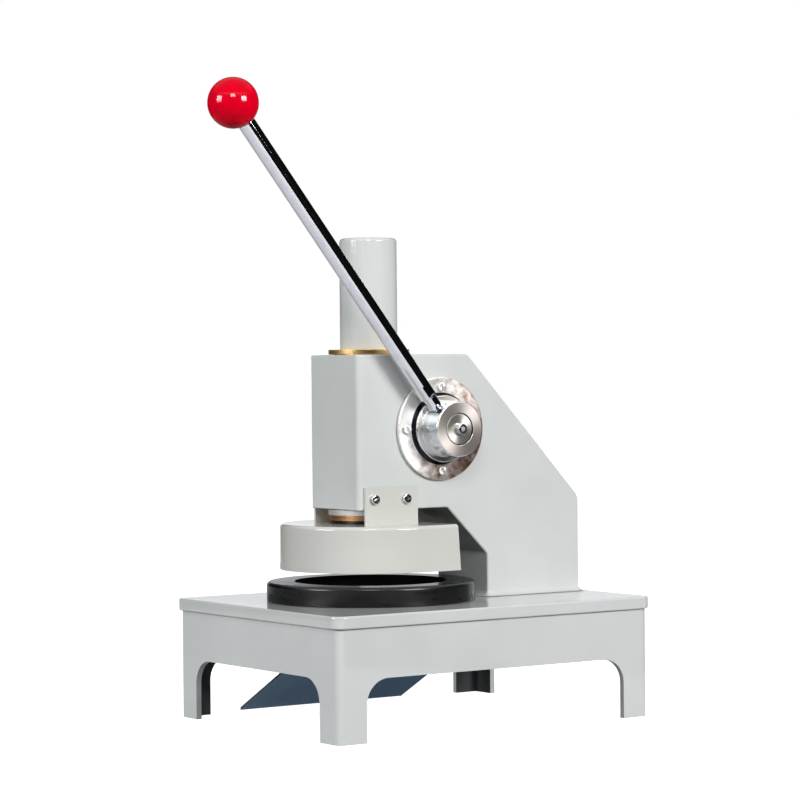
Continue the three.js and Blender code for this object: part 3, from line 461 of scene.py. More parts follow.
class Finish:
    """A material that is put together node by node."""

    def __init__(self, name, **uniform):
        self.material = bpy.data.materials.new(name)
        self.material.use_nodes = True
        self.tree = self.material.node_tree
        self.shader = self.tree.nodes["Principled BSDF"]
        for socket, value in uniform.items():
            self.shader.inputs[socket.replace("_", " ")].default_value = value
        self.place = self.node("ShaderNodeTexCoord").outputs["Object"]

    def node(self, kind, inputs=None, **settings):
        return add_node(self.tree, kind, inputs, **settings)

    def noise(self, scale, detail=3.0, stretch=None):
        """Cloudy noise from 0 to 1, with about scale cells to the metre."""
        place = self.place
        if stretch:
            place = self.node("ShaderNodeVectorMath", {0: place, 1: stretch},
                              operation="MULTIPLY").outputs[0]
        inputs = {"Vector": place, "Scale": scale, "Detail": detail, "Roughness": 0.55}
        return self.node("ShaderNodeTexNoise", inputs).outputs["Fac"]

    def rings(self, per_metre, detail=4.0):
        """Noise that changes only with the distance from the piece's own Z and along it."""
        split = self.node("ShaderNodeSeparateXYZ", {0: self.place})
        flat = self.node("ShaderNodeCombineXYZ", {0: split.outputs[0], 1: split.outputs[1]})
        radius = self.node("ShaderNodeVectorMath", {0: flat.outputs[0]}, operation="LENGTH")
        along = self.node("ShaderNodeMath", {0: radius.outputs["Value"], 1: split.outputs[2]},
                          operation="ADD")
        inputs = {"W": along.outputs[0], "Scale": per_metre, "Detail": detail, "Roughness": 0.7}
        return self.node("ShaderNodeTexNoise", inputs, noise_dimensions="1D").outputs["Fac"]

    def spread(self, fac, low, high, start=0.3, stop=0.7):
        """Runs from low to high while fac runs from start to stop."""
        inputs = {"Value": fac, 1: start, 2: stop, 3: low, 4: high}
        return self.node("ShaderNodeMapRange", inputs).outputs[0]

    def colour(self, fac, one, other):
        """Runs from one colour to the other."""
        inputs = {"Factor": fac, 6: one, 7: other}  # 6 and 7 are the sockets A and B for colours
        mix = self.node("ShaderNodeMix", inputs, data_type="RGBA")
        self.tree.links.new(mix.outputs[2], self.shader.inputs["Base Color"])

    def roughness(self, fac, low, high):
        level = self.spread(fac, low, high)
        self.tree.links.new(level, self.shader.inputs["Roughness"])

    def bump(self, *layers):
        """Each layer is (height from 0 to 1, depth in metres)."""
        normal = None
        for height, depth in layers:
            inputs = {"Height": height, "Distance": depth, "Strength": 1.0}
            if normal is not None:
                inputs["Normal"] = normal
            normal = self.node("ShaderNodeBump", inputs).outputs[0]
        self.tree.links.new(normal, self.shader.inputs["Normal"])

    def grain(self, amount):
        """Highlights that fan out from the piece's own Z, as turned metal shows them."""
        tangent = self.node("ShaderNodeTangent", direction_type="RADIAL", axis="Z")
        self.tree.links.new(tangent.outputs[0], self.shader.inputs["Tangent"])
        self.shader.inputs["Anisotropic"].default_value = amount


def enamel(name, light, dark, roughness=(0.36, 0.48), coat=1.0, swell=0.00006):
    """Sprayed enamel: a slow swell of the surface below, and the fine dimples of the spray."""
    finish = Finish(name, Coat_Weight=coat, Coat_Roughness=0.05, Specular_IOR_Level=0.15)
    broad = finish.noise(14, 2)
    finish.colour(finish.spread(broad, 0, 1), light, dark)
    finish.roughness(finish.noise(90, 3), *roughness)
    finish.bump((finish.noise(55, 2), swell), (finish.noise(850, 2), 0.000006))
    return finish.material


def turned_metal(name, light, dark, roughness, depth=0.000004, grain=0.6):
    """Bare metal with the fine circular marks of the lathe."""
    finish = Finish(name, Metallic=1.0)
    marks = finish.rings(2200)
    finish.colour(finish.spread(marks, 0, 1), light, dark)
    finish.roughness(marks, *roughness)
    finish.bump((marks, depth))
    finish.grain(grain)
    return finish.material


def reflection_tinted_metal(name, light_tone, reflected_brown):
    """Turned and plated metal, its colour darkened to brown in patches and more so to one side:
    painted reflection of brownish, dark surroundings.
    """
    finish = Finish(name, Metallic=1.0)
    across = finish.node("ShaderNodeVectorMath", {0: finish.place, 1: (0.45, 0.89, 0)},
                         operation="DOT_PRODUCT").outputs["Value"]
    darker_side = finish.spread(across, -0.24, 0.22, -0.042, 0.042)
    reflection_patches = finish.node("ShaderNodeMath", {0: finish.noise(150, 5), 1: darker_side}, operation="ADD")
    finish.colour(finish.spread(reflection_patches.outputs[0], 0, 1, 0.36, 0.74), light_tone, reflected_brown)
    finish.roughness(finish.noise(60, 2), 0.34, 0.42)
    finish.bump((finish.rings(1500), 0.000001))
    finish.grain(0.5)
    return finish.material


def hub_metal(name):
    """Polished round its side, and finely turned on the faces that look along its own Z."""
    finish = Finish(name, Metallic=1.0)
    normal = finish.node("ShaderNodeTexCoord").outputs["Normal"]
    end_on = finish.node("ShaderNodeSeparateXYZ", {0: normal}).outputs[2]
    face = finish.spread(end_on, 0, 1, 0.8, 0.95)
    finish.colour(face, display(220, 229, 235), display(219, 211, 204))
    finish.roughness(face, 0.16, 0.34)
    shallow = finish.node("ShaderNodeMath", {0: finish.rings(1800), 1: face}, operation="MULTIPLY")
    finish.bump((shallow.outputs[0], 0.000002))
    finish.grain(0.55)
    return finish.material


def bright_metal(name, light, dark, roughness):
    """Plated metal, with faint cloudy wipe marks."""
    finish = Finish(name, Metallic=1.0)
    clouds = finish.noise(160, 4)
    finish.colour(finish.spread(clouds, 0, 1), light, dark)
    finish.roughness(clouds, *roughness)
    finish.bump((finish.noise(420, 3), 0.0000012))
    return finish.material


def black_gloss(name):
    """Blackened steel under oil, with faint level streaks from grinding."""
    finish = Finish(name, Coat_Weight=0.25, Coat_Roughness=0.12, Specular_IOR_Level=0.35)
    streaks = finish.noise(40, 3, stretch=(1, 1, 6))
    finish.colour(finish.spread(streaks, 0, 1), (0.003, 0.003, 0.0035, 1), (0.007, 0.007, 0.008, 1))
    finish.roughness(streaks, 0.26, 0.34)
    finish.bump((finish.noise(700, 2), 0.000002))
    return finish.material


def red_gloss(name):
    """Moulded phenolic ball. Its clear coat lies in a band a little above the middle, where the
    softboxes' highlights fall, and fades out above and below so the ceiling and the table don't show
    in it: gloss painted to suit the lighting, keeping the highlights and taking out the reflections.
    """
    finish = Finish(name, Coat_Roughness=0.05, Specular_IOR_Level=0.05)
    normal = finish.node("ShaderNodeTexCoord").outputs["Normal"]
    slope = finish.node("ShaderNodeSeparateXYZ", {0: normal}).outputs[2]
    # The coat follows the normal's height: a painted band of highlight, set by where the lamps stand.
    from_below = finish.spread(slope, 0, 1, -0.06, 0.06)
    from_above = finish.spread(slope, 1, 0, 0.24, 0.34)
    highlight_band = finish.node("ShaderNodeMath", {0: from_below, 1: from_above}, operation="MULTIPLY")
    finish.tree.links.new(highlight_band.outputs[0], finish.shader.inputs["Coat Weight"])
    clouds = finish.noise(70, 3)
    finish.colour(finish.spread(clouds, 0, 1), (0.78, 0.0, 0.018, 1), (0.68, 0.0, 0.014, 1))
    finish.roughness(clouds, 0.16, 0.24)
    finish.bump((finish.noise(120, 2), 0.00001))
    return finish.material


BODY = enamel("body_enamel", display(214, 217, 215), display(206, 210, 208))
GUARD = enamel("guard_enamel", display(210, 211, 205), display(204, 204, 198), swell=0.00003)
SLATE = enamel("slate_enamel", display(122, 160, 194), display(110, 150, 184), (0.5, 0.6), coat=0.2,
               swell=0.00003)
# A darker grey for faces that look down: painted shade.
UNDERSIDE_SHADE = enamel("underside_painted_shade", display(152, 155, 154), display(144, 147, 146), coat=0.4)
# A dark grey that stands in for shade: painted shade inside the skirt and on the chute's front edge.
SHADE_GREY = enamel("painted_shade_grey", display(86, 90, 92), display(78, 82, 84), (0.6, 0.7), coat=0.0)
BLACK = black_gloss("black_steel")
RED = red_gloss("red_gloss")
# The flange's brown patches and darker side are painted reflection.
BRUSHED = reflection_tinted_metal("flange_painted_reflection", display(238, 235, 232), display(142, 108, 94))
POLISHED = hub_metal("polished_hub")
CAP = turned_metal("turned_cap", display(214, 209, 202), display(198, 193, 186), (0.32, 0.4),
                   depth=0.0000015, grain=0.75)
STEEL = turned_metal("ground_steel", display(184, 186, 188), display(160, 162, 165), (0.24, 0.36))
COLLAR = turned_metal("collar_steel", display(240, 240, 236), display(212, 212, 208), (0.42, 0.5))
BRASS = turned_metal("turned_brass", (0.98, 0.70, 0.32, 1), (0.82, 0.50, 0.18, 1), (0.26, 0.36))
BRONZE = turned_metal("turned_bronze", (0.95, 0.56, 0.28, 1), (0.74, 0.36, 0.14, 1), (0.26, 0.36))
CHROME = bright_metal("chrome", (0.76, 0.76, 0.80, 1), (0.68, 0.68, 0.73, 1), (0.03, 0.07))
ZINC = bright_metal("zinc", (0.72, 0.73, 0.74, 1), (0.58, 0.59, 0.61, 1), (0.13, 0.22))

# -------------------- finishing a piece


def dress(piece, body, material, slot, *nodes):
    mesh = piece.data
    mesh.materials.clear()
    mesh.materials.append(material)
    mesh.shade_smooth()
    mesh.set_sharp_from_angle(angle=SHARP_ANGLE)
    shading = piece.modifiers.new("shading", "WEIGHTED_NORMAL")
    shading.keep_sharp = True
    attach(piece, body)
    if nodes:
        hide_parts(*nodes)
    return piece


def paint(piece, material, choose):
    """Gives a second finish to the faces that choose(centre, normal) picks."""
    piece.data.materials.append(material)
    for face in piece.data.polygons:
        if choose(face.center, face.normal):
            face.material_index = 1


def dress_node(node, material):
    """A CAD node that stays, with a better material."""
    for holder in frame["nodes"][node].material_slots:
        holder.material = material


# -------------------- holes for the fasteners


def holes_for(nodes, radius, low, high):
    """One tool with an upright hole at each of these fasteners."""
    return merged([cylinder(radius, low, high, upright(*centre_of(node)[:2]), 24) for node in nodes])


def side_drills(nodes, low, high):
    """A tool at each of these fasteners, from low to high outwards from the middle plane."""
    drills = []
    for node in nodes:
        x, y, z = centre_of(node)
        drills.append(cylinder(M4_HOLE, low, high, sideways(0, y, z, math.copysign(1, x)), 20))
    return drills


# -------------------- base


def add_base_plate():
    low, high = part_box("base_plate")
    plate = slab("table_plate", low, high, PLATE_CORNER, PLATE_EDGE)
    below, above, blind = low.z - PAST, high.z + PAST, low.z + PLATE_SCREW_DEPTH
    carve(plate,
          cylinder(CUT_RADIUS + PLATE_HOLE_EXTRA, below, above, ON_CUT_LINE, SIDES),
          holes_for(DIE_BOLTS, M6_HOLE, below, above),
          holes_for(FRAME_BOLTS, M10_HOLE, below, above),
          holes_for(BASE_SCREWS, M6_HOLE, below, blind),
          holes_for(CHUTE_SCREWS, M4_HOLE, below, blind))
    dress(plate, "machine", BODY, "body_paint", "base_plate")


def arch(half_span, plane_centre):
    """The opening between two legs, with round upper corners."""
    corners = [(-half_span, -PAST), (half_span, -PAST), (half_span, ARCH_HEIGHT, ARCH_RADIUS),
               (-half_span, ARCH_HEIGHT, ARCH_RADIUS)]
    return rounded([(a + plane_centre, *rest) for a, *rest in corners])


def add_base_skirt():
    low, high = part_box("base_skirt")
    middle, half = (low + high) / 2, (high - low) / 2
    walls = prism("base_frame", rectangle(half.x, half.y, SKIRT_CORNER, middle[:2]), low.z, high.z)
    inside = prism("tool", rectangle(half.x - SKIRT_WALL, half.y - SKIRT_WALL,
                                     SKIRT_CORNER - SKIRT_WALL, middle[:2]), -PAST, high.z + PAST)
    carve(walls, inside)
    for node in BASE_SCREWS:
        x, y, _ = centre_of(node)
        lug = prism("tool", rectangle(LUG_SIZE / 2, LUG_SIZE / 2, centre=(x, y)),
                    high.z - LUG_THICKNESS, high.z)
        combine(walls, lug, "UNION")
    across_front = prism("tool", arch(half.x - LEG_WIDTH, middle.x), low.y - PAST, high.y + PAST, "XZ")
    across_sides = prism("tool", arch(half.y - LEG_WIDTH, middle.y), low.x - PAST, high.x + PAST, "YZ")
    carve(walls, across_front, across_sides,
          holes_for(BASE_SCREWS, M6_HOLE, high.z - 2 * PAST, high.z + PAST))
    soften(walls, SKIRT_EDGE)
    dress(walls, "machine", BODY, "body_paint", "base_skirt")
    # The skirt's inner faces get the dark grey: painted shade under the table plate.
    inner_x = half.x - SKIRT_WALL + SKIRT_SHADE_MARGIN
    inner_y = half.y - SKIRT_WALL + SKIRT_SHADE_MARGIN
    paint(walls, SHADE_GREY, lambda at, _: (
        abs(at.x - middle.x) < inner_x and abs(at.y - middle.y) < inner_y))


def add_chute():
    low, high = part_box("discharge_chute")
    flange_low = high.z - CHUTE_SHEET
    angle = math.atan(CHUTE_SLOPE)
    lip_x = low.x + CHUTE_SHEET * math.sin(angle)
    lip_z = low.z + CHUTE_SHEET * math.cos(angle)
    profile = rounded([
        (lip_x, low.z), (lip_x + (flange_low - low.z) / CHUTE_SLOPE, flange_low, CHUTE_BEND),
        (high.x, flange_low), (high.x, high.z),
        (low.x + (high.z - lip_z) / CHUTE_SLOPE, high.z, CHUTE_BEND_ABOVE), (low.x, lip_z),
    ])
    chute = prism("disc_chute", profile, low.y, high.y, "XZ")
    plan = rounded([(low.x, low.y, CHUTE_CORNER), (high.x + PAST, low.y),
                    (high.x + PAST, high.y), (low.x, high.y, CHUTE_CORNER)])
    combine(chute, prism("tool", plan, -PAST, 20 * PAST), "INTERSECT")
    carve(chute, holes_for(CHUTE_SCREWS, M4_HOLE, flange_low - PAST, high.z + PAST))
    soften(chute, 0.0004, 2)
    dress(chute, "machine", SLATE, "slate_paint", "discharge_chute")
    # The sheet's front edge faces get the dark grey as well: painted shade that keeps the edge dark.
    paint(chute, SHADE_GREY, lambda _, normal: normal.y < -0.5)


def add_die():
    low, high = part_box("die_ring")
    die = turned_ring("die", [
        (CUT_RADIUS, low.z), (high.x, low.z, 0.0006), (high.x, high.z, DIE_EDGE),
        (CUT_RADIUS, high.z, CRISP_EDGE)], ON_CUT_LINE, 160)
    carve(die, holes_for(DIE_BOLTS, M6_HOLE, low.z - PAST, low.z + DIE_BOLT_DEPTH))
    dress(die, "machine", BLACK, "black_steel", "die_ring")


# -------------------- frame casting


def foot_flare(low, high, back, front):
    """The cast fillet where the column stands on the table."""
    steps = 8
    middle_y, half_y = (front + back) / 2, (back - front) / 2
    loops = []
    for k in range(steps + 1):
        angle = math.pi / 2 * k / steps
        out = FOOT_FILLET * (1 - math.cos(angle)) - FILLET_SINK
        z = low.z + FOOT_FILLET * (1 - math.sin(angle))
        outline = rectangle(high.x + out, half_y + out, CASTING_EDGE + out, (0, middle_y))
        loops.append([(a, b, z) for a, b in outline])
    return loft("tool", loops)


def weigh_edges(piece, choose):
    """Gives each edge the bevel weight that choose(one_end, other_end) says."""
    layer = piece.data.attributes.new("bevel_weight_edge", "FLOAT", "EDGE")
    points = [vertex.co.copy() for vertex in piece.data.vertices]
    for edge in piece.data.edges:
        layer.data[edge.index].value = choose(points[edge.vertices[0]], points[edge.vertices[1]])


def add_frame():
    low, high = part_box("frame_casting")
    head_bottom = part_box("bush_collar")[1].z + GAP
    throat_back = low.y + THROAT_DEPTH
    profile = rounded([
        (low.y, head_bottom), (low.y, high.z), (low.y + HEAD_TOP_LENGTH, high.z, 0.006),
        (high.y, BACK_CORNER_HEIGHT, 0.010), (high.y, low.z), (throat_back, low.z),
        (throat_back, THROAT_KNEE_HEIGHT, 0.004),
        (low.y + HEAD_BOTTOM_LENGTH, head_bottom, 0.004)])
    casting = prism("press_frame", profile, low.x, high.x, "YZ")

    def weight(one, other):
        """Full on the head's two upright front edges, less on the other edges of both sides."""
        tiny = 1e-5
        if max(one.z, other.z) < low.z + tiny:
            return 0.0
        side = abs(abs(one.x) - high.x) < tiny and abs(one.x - other.x) < tiny
        in_front = max(one.y, other.y) < low.y + tiny
        if side and in_front:
            return 1.0
        across = abs(one.x - other.x) > tiny
        return CASTING_EDGE / HEAD_FRONT_EDGE if side or (across and in_front) else 0.0

    weigh_edges(casting, weight)
    soften(casting, HEAD_FRONT_EDGE, 6, weighted=True)
    combine(casting, foot_flare(low, high, high.y, throat_back), "UNION")
    outside = high.x + PAST
    ram_bore = cylinder(RAM_BORE, head_bottom - PAST, high.z + PAST, ON_CUT_LINE, SIDES)
    cross_bore = cylinder(CROSS_BORE, low.x - PAST, outside, ON_CROSS_LINE, SIDES)
    bolts = holes_for(FRAME_BOLTS, M10_HOLE, low.z - PAST, low.z + FRAME_BOLT_DEPTH)
    guard_screws = RIGHT_GUARD_SCREWS + LEFT_GUARD_SCREWS
    side_screws = side_drills(guard_screws, high.x - GUARD_SCREW_DEPTH, outside)
    side_screws += side_drills(FLANGE_SCREWS + COVER_SCREWS, high.x - FLANGE_SCREW_DEPTH, outside)
    carve(casting, ram_bore, cross_bore, bolts, merged(side_screws))
    dress(casting, "machine", BODY, "body_paint", "frame_casting")
    # The casting's faces that look down, under the head and along the throat's slope, get the darker
    # grey: painted shade.
    above_foot = low.z + PAST
    paint(casting, UNDERSIDE_SHADE, lambda at, normal: normal.z < -0.68 and at.z > above_foot)


# -------------------- guides and guard


def add_guides():
    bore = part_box("ram")[1].x + GAP
    body = RAM_BORE - GAP
    edge = BUSH_EDGE
    for name, material in (("upper_bush", BRASS), ("lower_bush", BRONZE)):
        low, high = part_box(name)
        if name == "upper_bush":
            face, seat, end = high.z, high.z - BUSH_FLANGE, low.z
        else:
            face, seat, end = low.z, low.z + BUSH_FLANGE, high.z
        bush = turned_ring(f"{name}_brass", [
            (bore, face, edge), (high.x, face, edge), (high.x, seat, edge), (body, seat),
            (body, end, edge), (bore, end, edge)], ON_CUT_LINE)
        dress(bush, "machine", material, "brass", name)
    low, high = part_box("bush_collar")
    collar = turned_ring("lower_collar", [
        (RAM_BORE, low.z), (high.x, low.z, BUSH_EDGE), (high.x, high.z, BUSH_EDGE),
        (RAM_BORE, high.z)], ON_CUT_LINE)
    dress(collar, "machine", COLLAR, "turned_steel", "bush_collar")


def horseshoe(radius, back, z, steps=64):
    """A half circle in front of the cutting line, and straight sides back to a given place."""
    angles = [math.pi + math.pi * k / steps for k in range(steps + 1)]
    loop = [(radius * math.cos(a), CUT_LINE.y + radius * math.sin(a), z) for a in angles]
    return loop + [(radius, back, z), (-radius, back, z)]


def horseshoe_block(radius, back, low, high, edge, steps=6):
    sections = [(0, low)]
    sections += [(edge * (1 - math.cos(t)), high - edge * (1 - math.sin(t)))
                 for t in (math.pi / 2 * k / steps for k in range(steps + 1))]
    return loft("tool", [horseshoe(radius - inset, back, z) for inset, z in sections])


def add_guard():
    low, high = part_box("guard_shell")
    radius = high.x
    far = high.y + 2 * PAST
    shell = horseshoe_block(radius, far, low.z, GUARD_TOP, GUARD_BEND)
    shell.name = "blade_guard"
    hollow = horseshoe_block(radius - GUARD_SHEET, far + PAST, low.z - PAST, GUARD_TOP - GUARD_SHEET,
                             GUARD_BEND - GUARD_SHEET)
    boss_hole = cylinder(GUARD_HOLE, GUARD_TOP - PAST, GUARD_TOP + PAST, ON_CUT_LINE, FINE_SIDES)
    slant = [(high.y - GUARD_BACK_SLANT, GUARD_TOP), (high.y, low.z), (high.y, low.z - PAST),
             (far + 3 * PAST, low.z - PAST), (far + 3 * PAST, GUARD_TOP + PAST),
             (high.y - GUARD_BACK_SLANT, GUARD_TOP + PAST)]
    carve(shell, hollow, boss_hole, prism("tool", slant, low.x - PAST, high.x + PAST, "YZ"))
    tab_low, tab_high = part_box(RIGHT_GUARD_SCREWS[0])[0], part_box(RIGHT_GUARD_SCREWS[1])[1]
    tab_front = tab_low.y - TAB_MARGIN_FRONT
    tab_back = tab_high.y + TAB_MARGIN_BACK
    outline = rounded([(tab_front, GUARD_TOP - GUARD_SHEET), (tab_back, GUARD_TOP - GUARD_SHEET),
                       (tab_back, high.z, TAB_CORNER), (tab_front, high.z, TAB_CORNER)])
    tab_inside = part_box("frame_casting")[1].x + GAP
    for inner in (tab_inside, -tab_inside - GUARD_SHEET):
        combine(shell, prism("tool", outline, inner, inner + GUARD_SHEET, "YZ"), "UNION")
    carve(shell, merged(side_drills(RIGHT_GUARD_SCREWS + LEFT_GUARD_SCREWS,
                                    tab_inside - PAST, tab_inside + PAST)))
    soften(shell, GUARD_EDGE)
    dress(shell, "machine", GUARD, "guard_paint", "guard_shell")


# -------------------- ram, holder and blade


def rack_comb(low, high):
    """What is cut from the ram's back to leave the rack's teeth."""
    pitch_y = PINION.y - PITCH_RADIUS
    tip, root = pitch_y + GEAR_MODULE, pitch_y - DEDENDUM
    widen = math.tan(PRESSURE_ANGLE)
    half = RACK_PITCH / 4 + RACK_PLAY
    at_tip, at_root = half + GEAR_MODULE * widen, half - DEDENDUM * widen
    middle = PINION.z + RACK_RISE
    reach = RACK_TEETH * RACK_PITCH / 2
    first = math.ceil((middle - reach - PINION.z) / RACK_PITCH)
    outline = [(high.y + 0.001, middle - reach - 0.001), (tip, middle - reach - 0.001)]
    for tooth in range(RACK_TEETH):
        z = PINION.z + (first + tooth) * RACK_PITCH
        outline += [(tip, z - at_tip), (root, z - at_root), (root, z + at_root), (tip, z + at_tip)]
    outline += [(tip, middle + reach + 0.003), (high.y + 0.001, middle + reach + 0.003)]
    return prism("tool", outline, low.x - 0.001, high.x + 0.001, "YZ")


def add_ram():
    low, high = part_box("ram")
    ram = turned_solid("ram_column", [
        (0, low.z), (high.x, low.z, SOFT_EDGE), (high.x, high.z, RAM_EDGE), (0, high.z)],
        ON_CUT_LINE, FINE_SIDES)
    bolt_hole = cylinder(M10_HOLE, low.z - PAST, low.z + HOLDER_BOLT_DEPTH, ON_CUT_LINE)
    carve(ram, rack_comb(low, high), bolt_hole)
    dress(ram, "ram_unit", BODY, "body_paint", "ram")


def add_blade():
    low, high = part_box("blade_holder")
    outer = high.x
    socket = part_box("ram")[1].x + GAP
    socket_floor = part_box("ram")[0].z - GAP
    holder = turned_ring("punch_holder", [
        (M10_HOLE, low.z), (outer, low.z, CRISP_EDGE), (outer, HOLDER_PLATE_TOP, 0.0006),
        (HOLDER_BOSS_RADIUS, HOLDER_PLATE_TOP), (HOLDER_BOSS_RADIUS, high.z, SOFT_EDGE),
        (socket, high.z), (socket, socket_floor), (M10_HOLE, socket_floor)],
        ON_CUT_LINE, FINE_SIDES)
    carve(holder, holes_for(BLADE_SCREWS, M5_HOLE, low.z - PAST, high.z))
    dress(holder, "ram_unit", BLACK, "black_steel", "blade_holder")
    low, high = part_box("cutting_blade")
    blade = turned_ring("ring_blade", [
        (outer - BLADE_EDGE_WIDTH, low.z), (outer, low.z), (outer, high.z, CRISP_EDGE),
        (BLADE_INSIDE_TOP, high.z), (BLADE_INSIDE_TOP, low.z + BLADE_BEVEL_HEIGHT)],
        ON_CUT_LINE, FINE_SIDES)
    carve(blade, holes_for(BLADE_SCREWS, M5_HOLE, high.z - BLADE_SCREW_DEPTH, high.z + PAST))
    dress(blade, "ram_unit", STEEL, "turned_steel", "cutting_blade")


# -------------------- cross bearings


def add_bearing_covers():
    low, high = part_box("right_bearing_flange")
    radius = high.z - PINION.z
    seat = high.x - COVER_THICKNESS
    recess_floor = high.x - RECESS_DEPTH
    flange = turned_ring("bearing_flange", [
        (SHAFT_BUSH_HOLE, low.x), (SPIGOT_RADIUS, low.x), (SPIGOT_RADIUS, seat),
        (radius, seat, CRISP_EDGE), (radius, high.x, 0.0008), (RECESS_RADIUS, high.x, CRISP_EDGE),
        (RECESS_RADIUS, recess_floor), (SHAFT_BUSH_HOLE, recess_floor)], ON_CROSS_LINE, FINE_SIDES)
    carve(flange, merged(side_drills(FLANGE_SCREWS, seat - PAST, high.x + PAST)))
    ring_in, ring_out = SCREW_RING
    for node in FLANGE_SCREWS:
        _, y, z = centre_of(node)
        carve(flange, turned_ring("tool", [
            (ring_in, -SCREW_RING_DEPTH), (ring_out, -SCREW_RING_DEPTH), (ring_out, PAST),
            (ring_in, PAST)], sideways(high.x, y, z), 40))
    dress(flange, "machine", BRUSHED, "brushed_steel", "right_bearing_flange")
    # The recess that the hub's shoulder turns in is painted black: painted shade between the hub and
    # the flange.
    painted_shade_to = RECESS_RADIUS + RECESS_SHADE_MARGIN
    paint(flange, BLACK, lambda at, _: at.z > seat and math.hypot(at.x, at.y) < painted_shade_to)
    low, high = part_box("left_bearing_cover")
    seat = low.x + COVER_THICKNESS
    shoulder = seat + COVER_SHOULDER
    cover = turned_solid("bearing_cover", [
        (0, low.x), (radius, low.x, 0.0012), (radius, seat, CRISP_EDGE), (SPIGOT_RADIUS, seat),
        (SPIGOT_RADIUS, shoulder), (COVER_INSIDE, shoulder), (COVER_INSIDE, high.x),
        (SHAFT_BUSH_HOLE, high.x), (SHAFT_BUSH_HOLE, seat), (0, seat)],
        ON_CROSS_LINE, FINE_SIDES)
    carve(cover, merged(side_drills(COVER_SCREWS, -seat - PAST, -low.x + PAST)))
    dress(cover, "machine", BRUSHED, "brushed_steel", "left_bearing_cover")


# -------------------- lever


def add_hub():
    low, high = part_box("lever_hub")
    shoulder_radius = high.z - PINION.z
    shoulder = low.x + HUB_SHOULDER_LENGTH
    floor = high.x - HUB_COUNTERBORE_DEPTH
    hub = turned_ring("hub", [
        (HUB_BORE, low.x), (shoulder_radius, low.x, 0.0004), (shoulder_radius, shoulder, 0.0007),
        (HUB_RADIUS, shoulder, 0.0006), (HUB_RADIUS, high.x, 0.0010),
        (HUB_COUNTERBORE, high.x, 0.0004), (HUB_COUNTERBORE, floor), (HUB_BORE, floor)],
        ON_CROSS_LINE, FINE_SIDES)
    carve(hub, cylinder(STUD_RADIUS + GAP, HUB_BORE - GAP, HUB_RADIUS + PAST, ON_LEVER))
    dress(hub, "lever_unit", POLISHED, "brushed_steel", "lever_hub")
    # The counterbore round the cap disc is painted black: painted shade in the gap round the disc.
    painted_shade_to = HUB_COUNTERBORE + HUB_COUNTERBORE_SHADE_MARGIN
    paint(hub, BLACK, lambda at, _: math.hypot(at.x, at.y) < painted_shade_to)
    low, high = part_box("hub_cap_disc")
    disc_radius = high.z - PINION.z - GAP
    disc = turned_ring("hub_disc", [
        (CAP_SCREW_HOLE, low.x), (disc_radius, low.x), (disc_radius, high.x, 0.0004),
        (CAP_SCREW_HOLE, high.x)], ON_CROSS_LINE)
    dress(disc, "lever_unit", CAP, "brushed_steel", "hub_cap_disc")


def add_rod():
    end = LEVER_LENGTH - KNOB_RADIUS * math.cos(KNOB_FLAT_ANGLE) - GAP
    neck_low = HUB_RADIUS + NECK_START
    neck_high = neck_low + NECK_LENGTH
    rod = turned_solid("lever_bar", [
        (0, STUD_FOOT), (STUD_RADIUS, STUD_FOOT), (STUD_RADIUS, neck_low),
        (NECK_RADIUS, neck_low, 0.0004), (NECK_RADIUS, neck_high, CRISP_EDGE),
        (ROD_RADIUS, neck_high + NECK_CONE, CRISP_EDGE), (ROD_RADIUS, end, SOFT_EDGE),
        (STUD_RADIUS, end), (STUD_RADIUS, end + STUD_IN_KNOB), (0, end + STUD_IN_KNOB)],
        ON_LEVER)
    half_depth = 0.002
    cut_away = rectangle(half_depth, 0.01, centre=(WRENCH_FLAT_HALF + half_depth, 0))
    for side in (1, -1):
        loops = [[(side * a, b, neck_high + along) for a, b in cut_away] for along in WRENCH_FLATS]
        carve(rod, loft("tool", loops, ON_LEVER))
    dress(bake(rod), "lever_unit", CHROME, "chrome", "lever_rod")


def add_knob():
    steps = 48
    radius = KNOB_RADIUS - KNOB_SLACK
    profile = []
    for k in range(steps + 1):
        angle = KNOB_FLAT_ANGLE + (math.pi - KNOB_FLAT_ANGLE) * k / steps
        profile.append((radius * math.sin(angle) if k < steps else 0, -radius * math.cos(angle)))
    flat = profile[0][1]
    bore = STUD_RADIUS + GAP
    floor = flat + KNOB_HOLE_DEPTH
    profile += [(0, floor), (bore, floor), (bore, flat), profile[0]]
    ball = lathe("ball_knob", profile, ON_LEVER @ Matrix.Translation((0, 0, LEVER_LENGTH)))
    dress(bake(ball), "lever_unit", RED, "red_plastic", "lever_knob")


# -------------------- screws


def pan_head(radius, height, shank, length):
    """A pan-head screw with a cross recess. Its head stands on z = 0."""
    screw = turned_solid("screw", [
        (0, -length), (shank, -length, CRISP_EDGE), (shank, 0), (radius, 0, CRISP_EDGE / 2),
        (radius, height, height * 0.38), (0, height)], Matrix.Identity(4), 40)
    arm, half = radius * 0.56, radius * 0.13
    floor, brim, above = height - 0.0017, height + 0.0001, height + 0.001
    for turn in (0, math.pi / 2):
        loops = []
        for share, z in ((0.45, floor), (1.0, brim), (1.0, above)):
            outline = rectangle(arm * share, half * (0.6 + 0.4 * share))
            loops.append([(*(Matrix.Rotation(turn, 2) @ point), z) for point in outline])
        carve(screw, loft("tool", loops))
    return screw


def hexagon_tool(radius, low, high):
    return loft("tool", [[(a, b, z) for a, b in polygon(6, radius)] for z in (low, high)])


def socket_head(radius, height, shank, length, key):
    """A socket-head screw with a hexagon. Its head stands on z = 0."""
    edge = radius * 0.1
    screw = turned_solid("screw", [
        (0, -length), (shank, -length, CRISP_EDGE), (shank, 0), (radius, 0, edge / 2),
        (radius, height, edge), (0, height)], Matrix.Identity(4), 48)
    return carve(screw, hexagon_tool(key / math.sqrt(3), height * 0.45, height + 0.001))


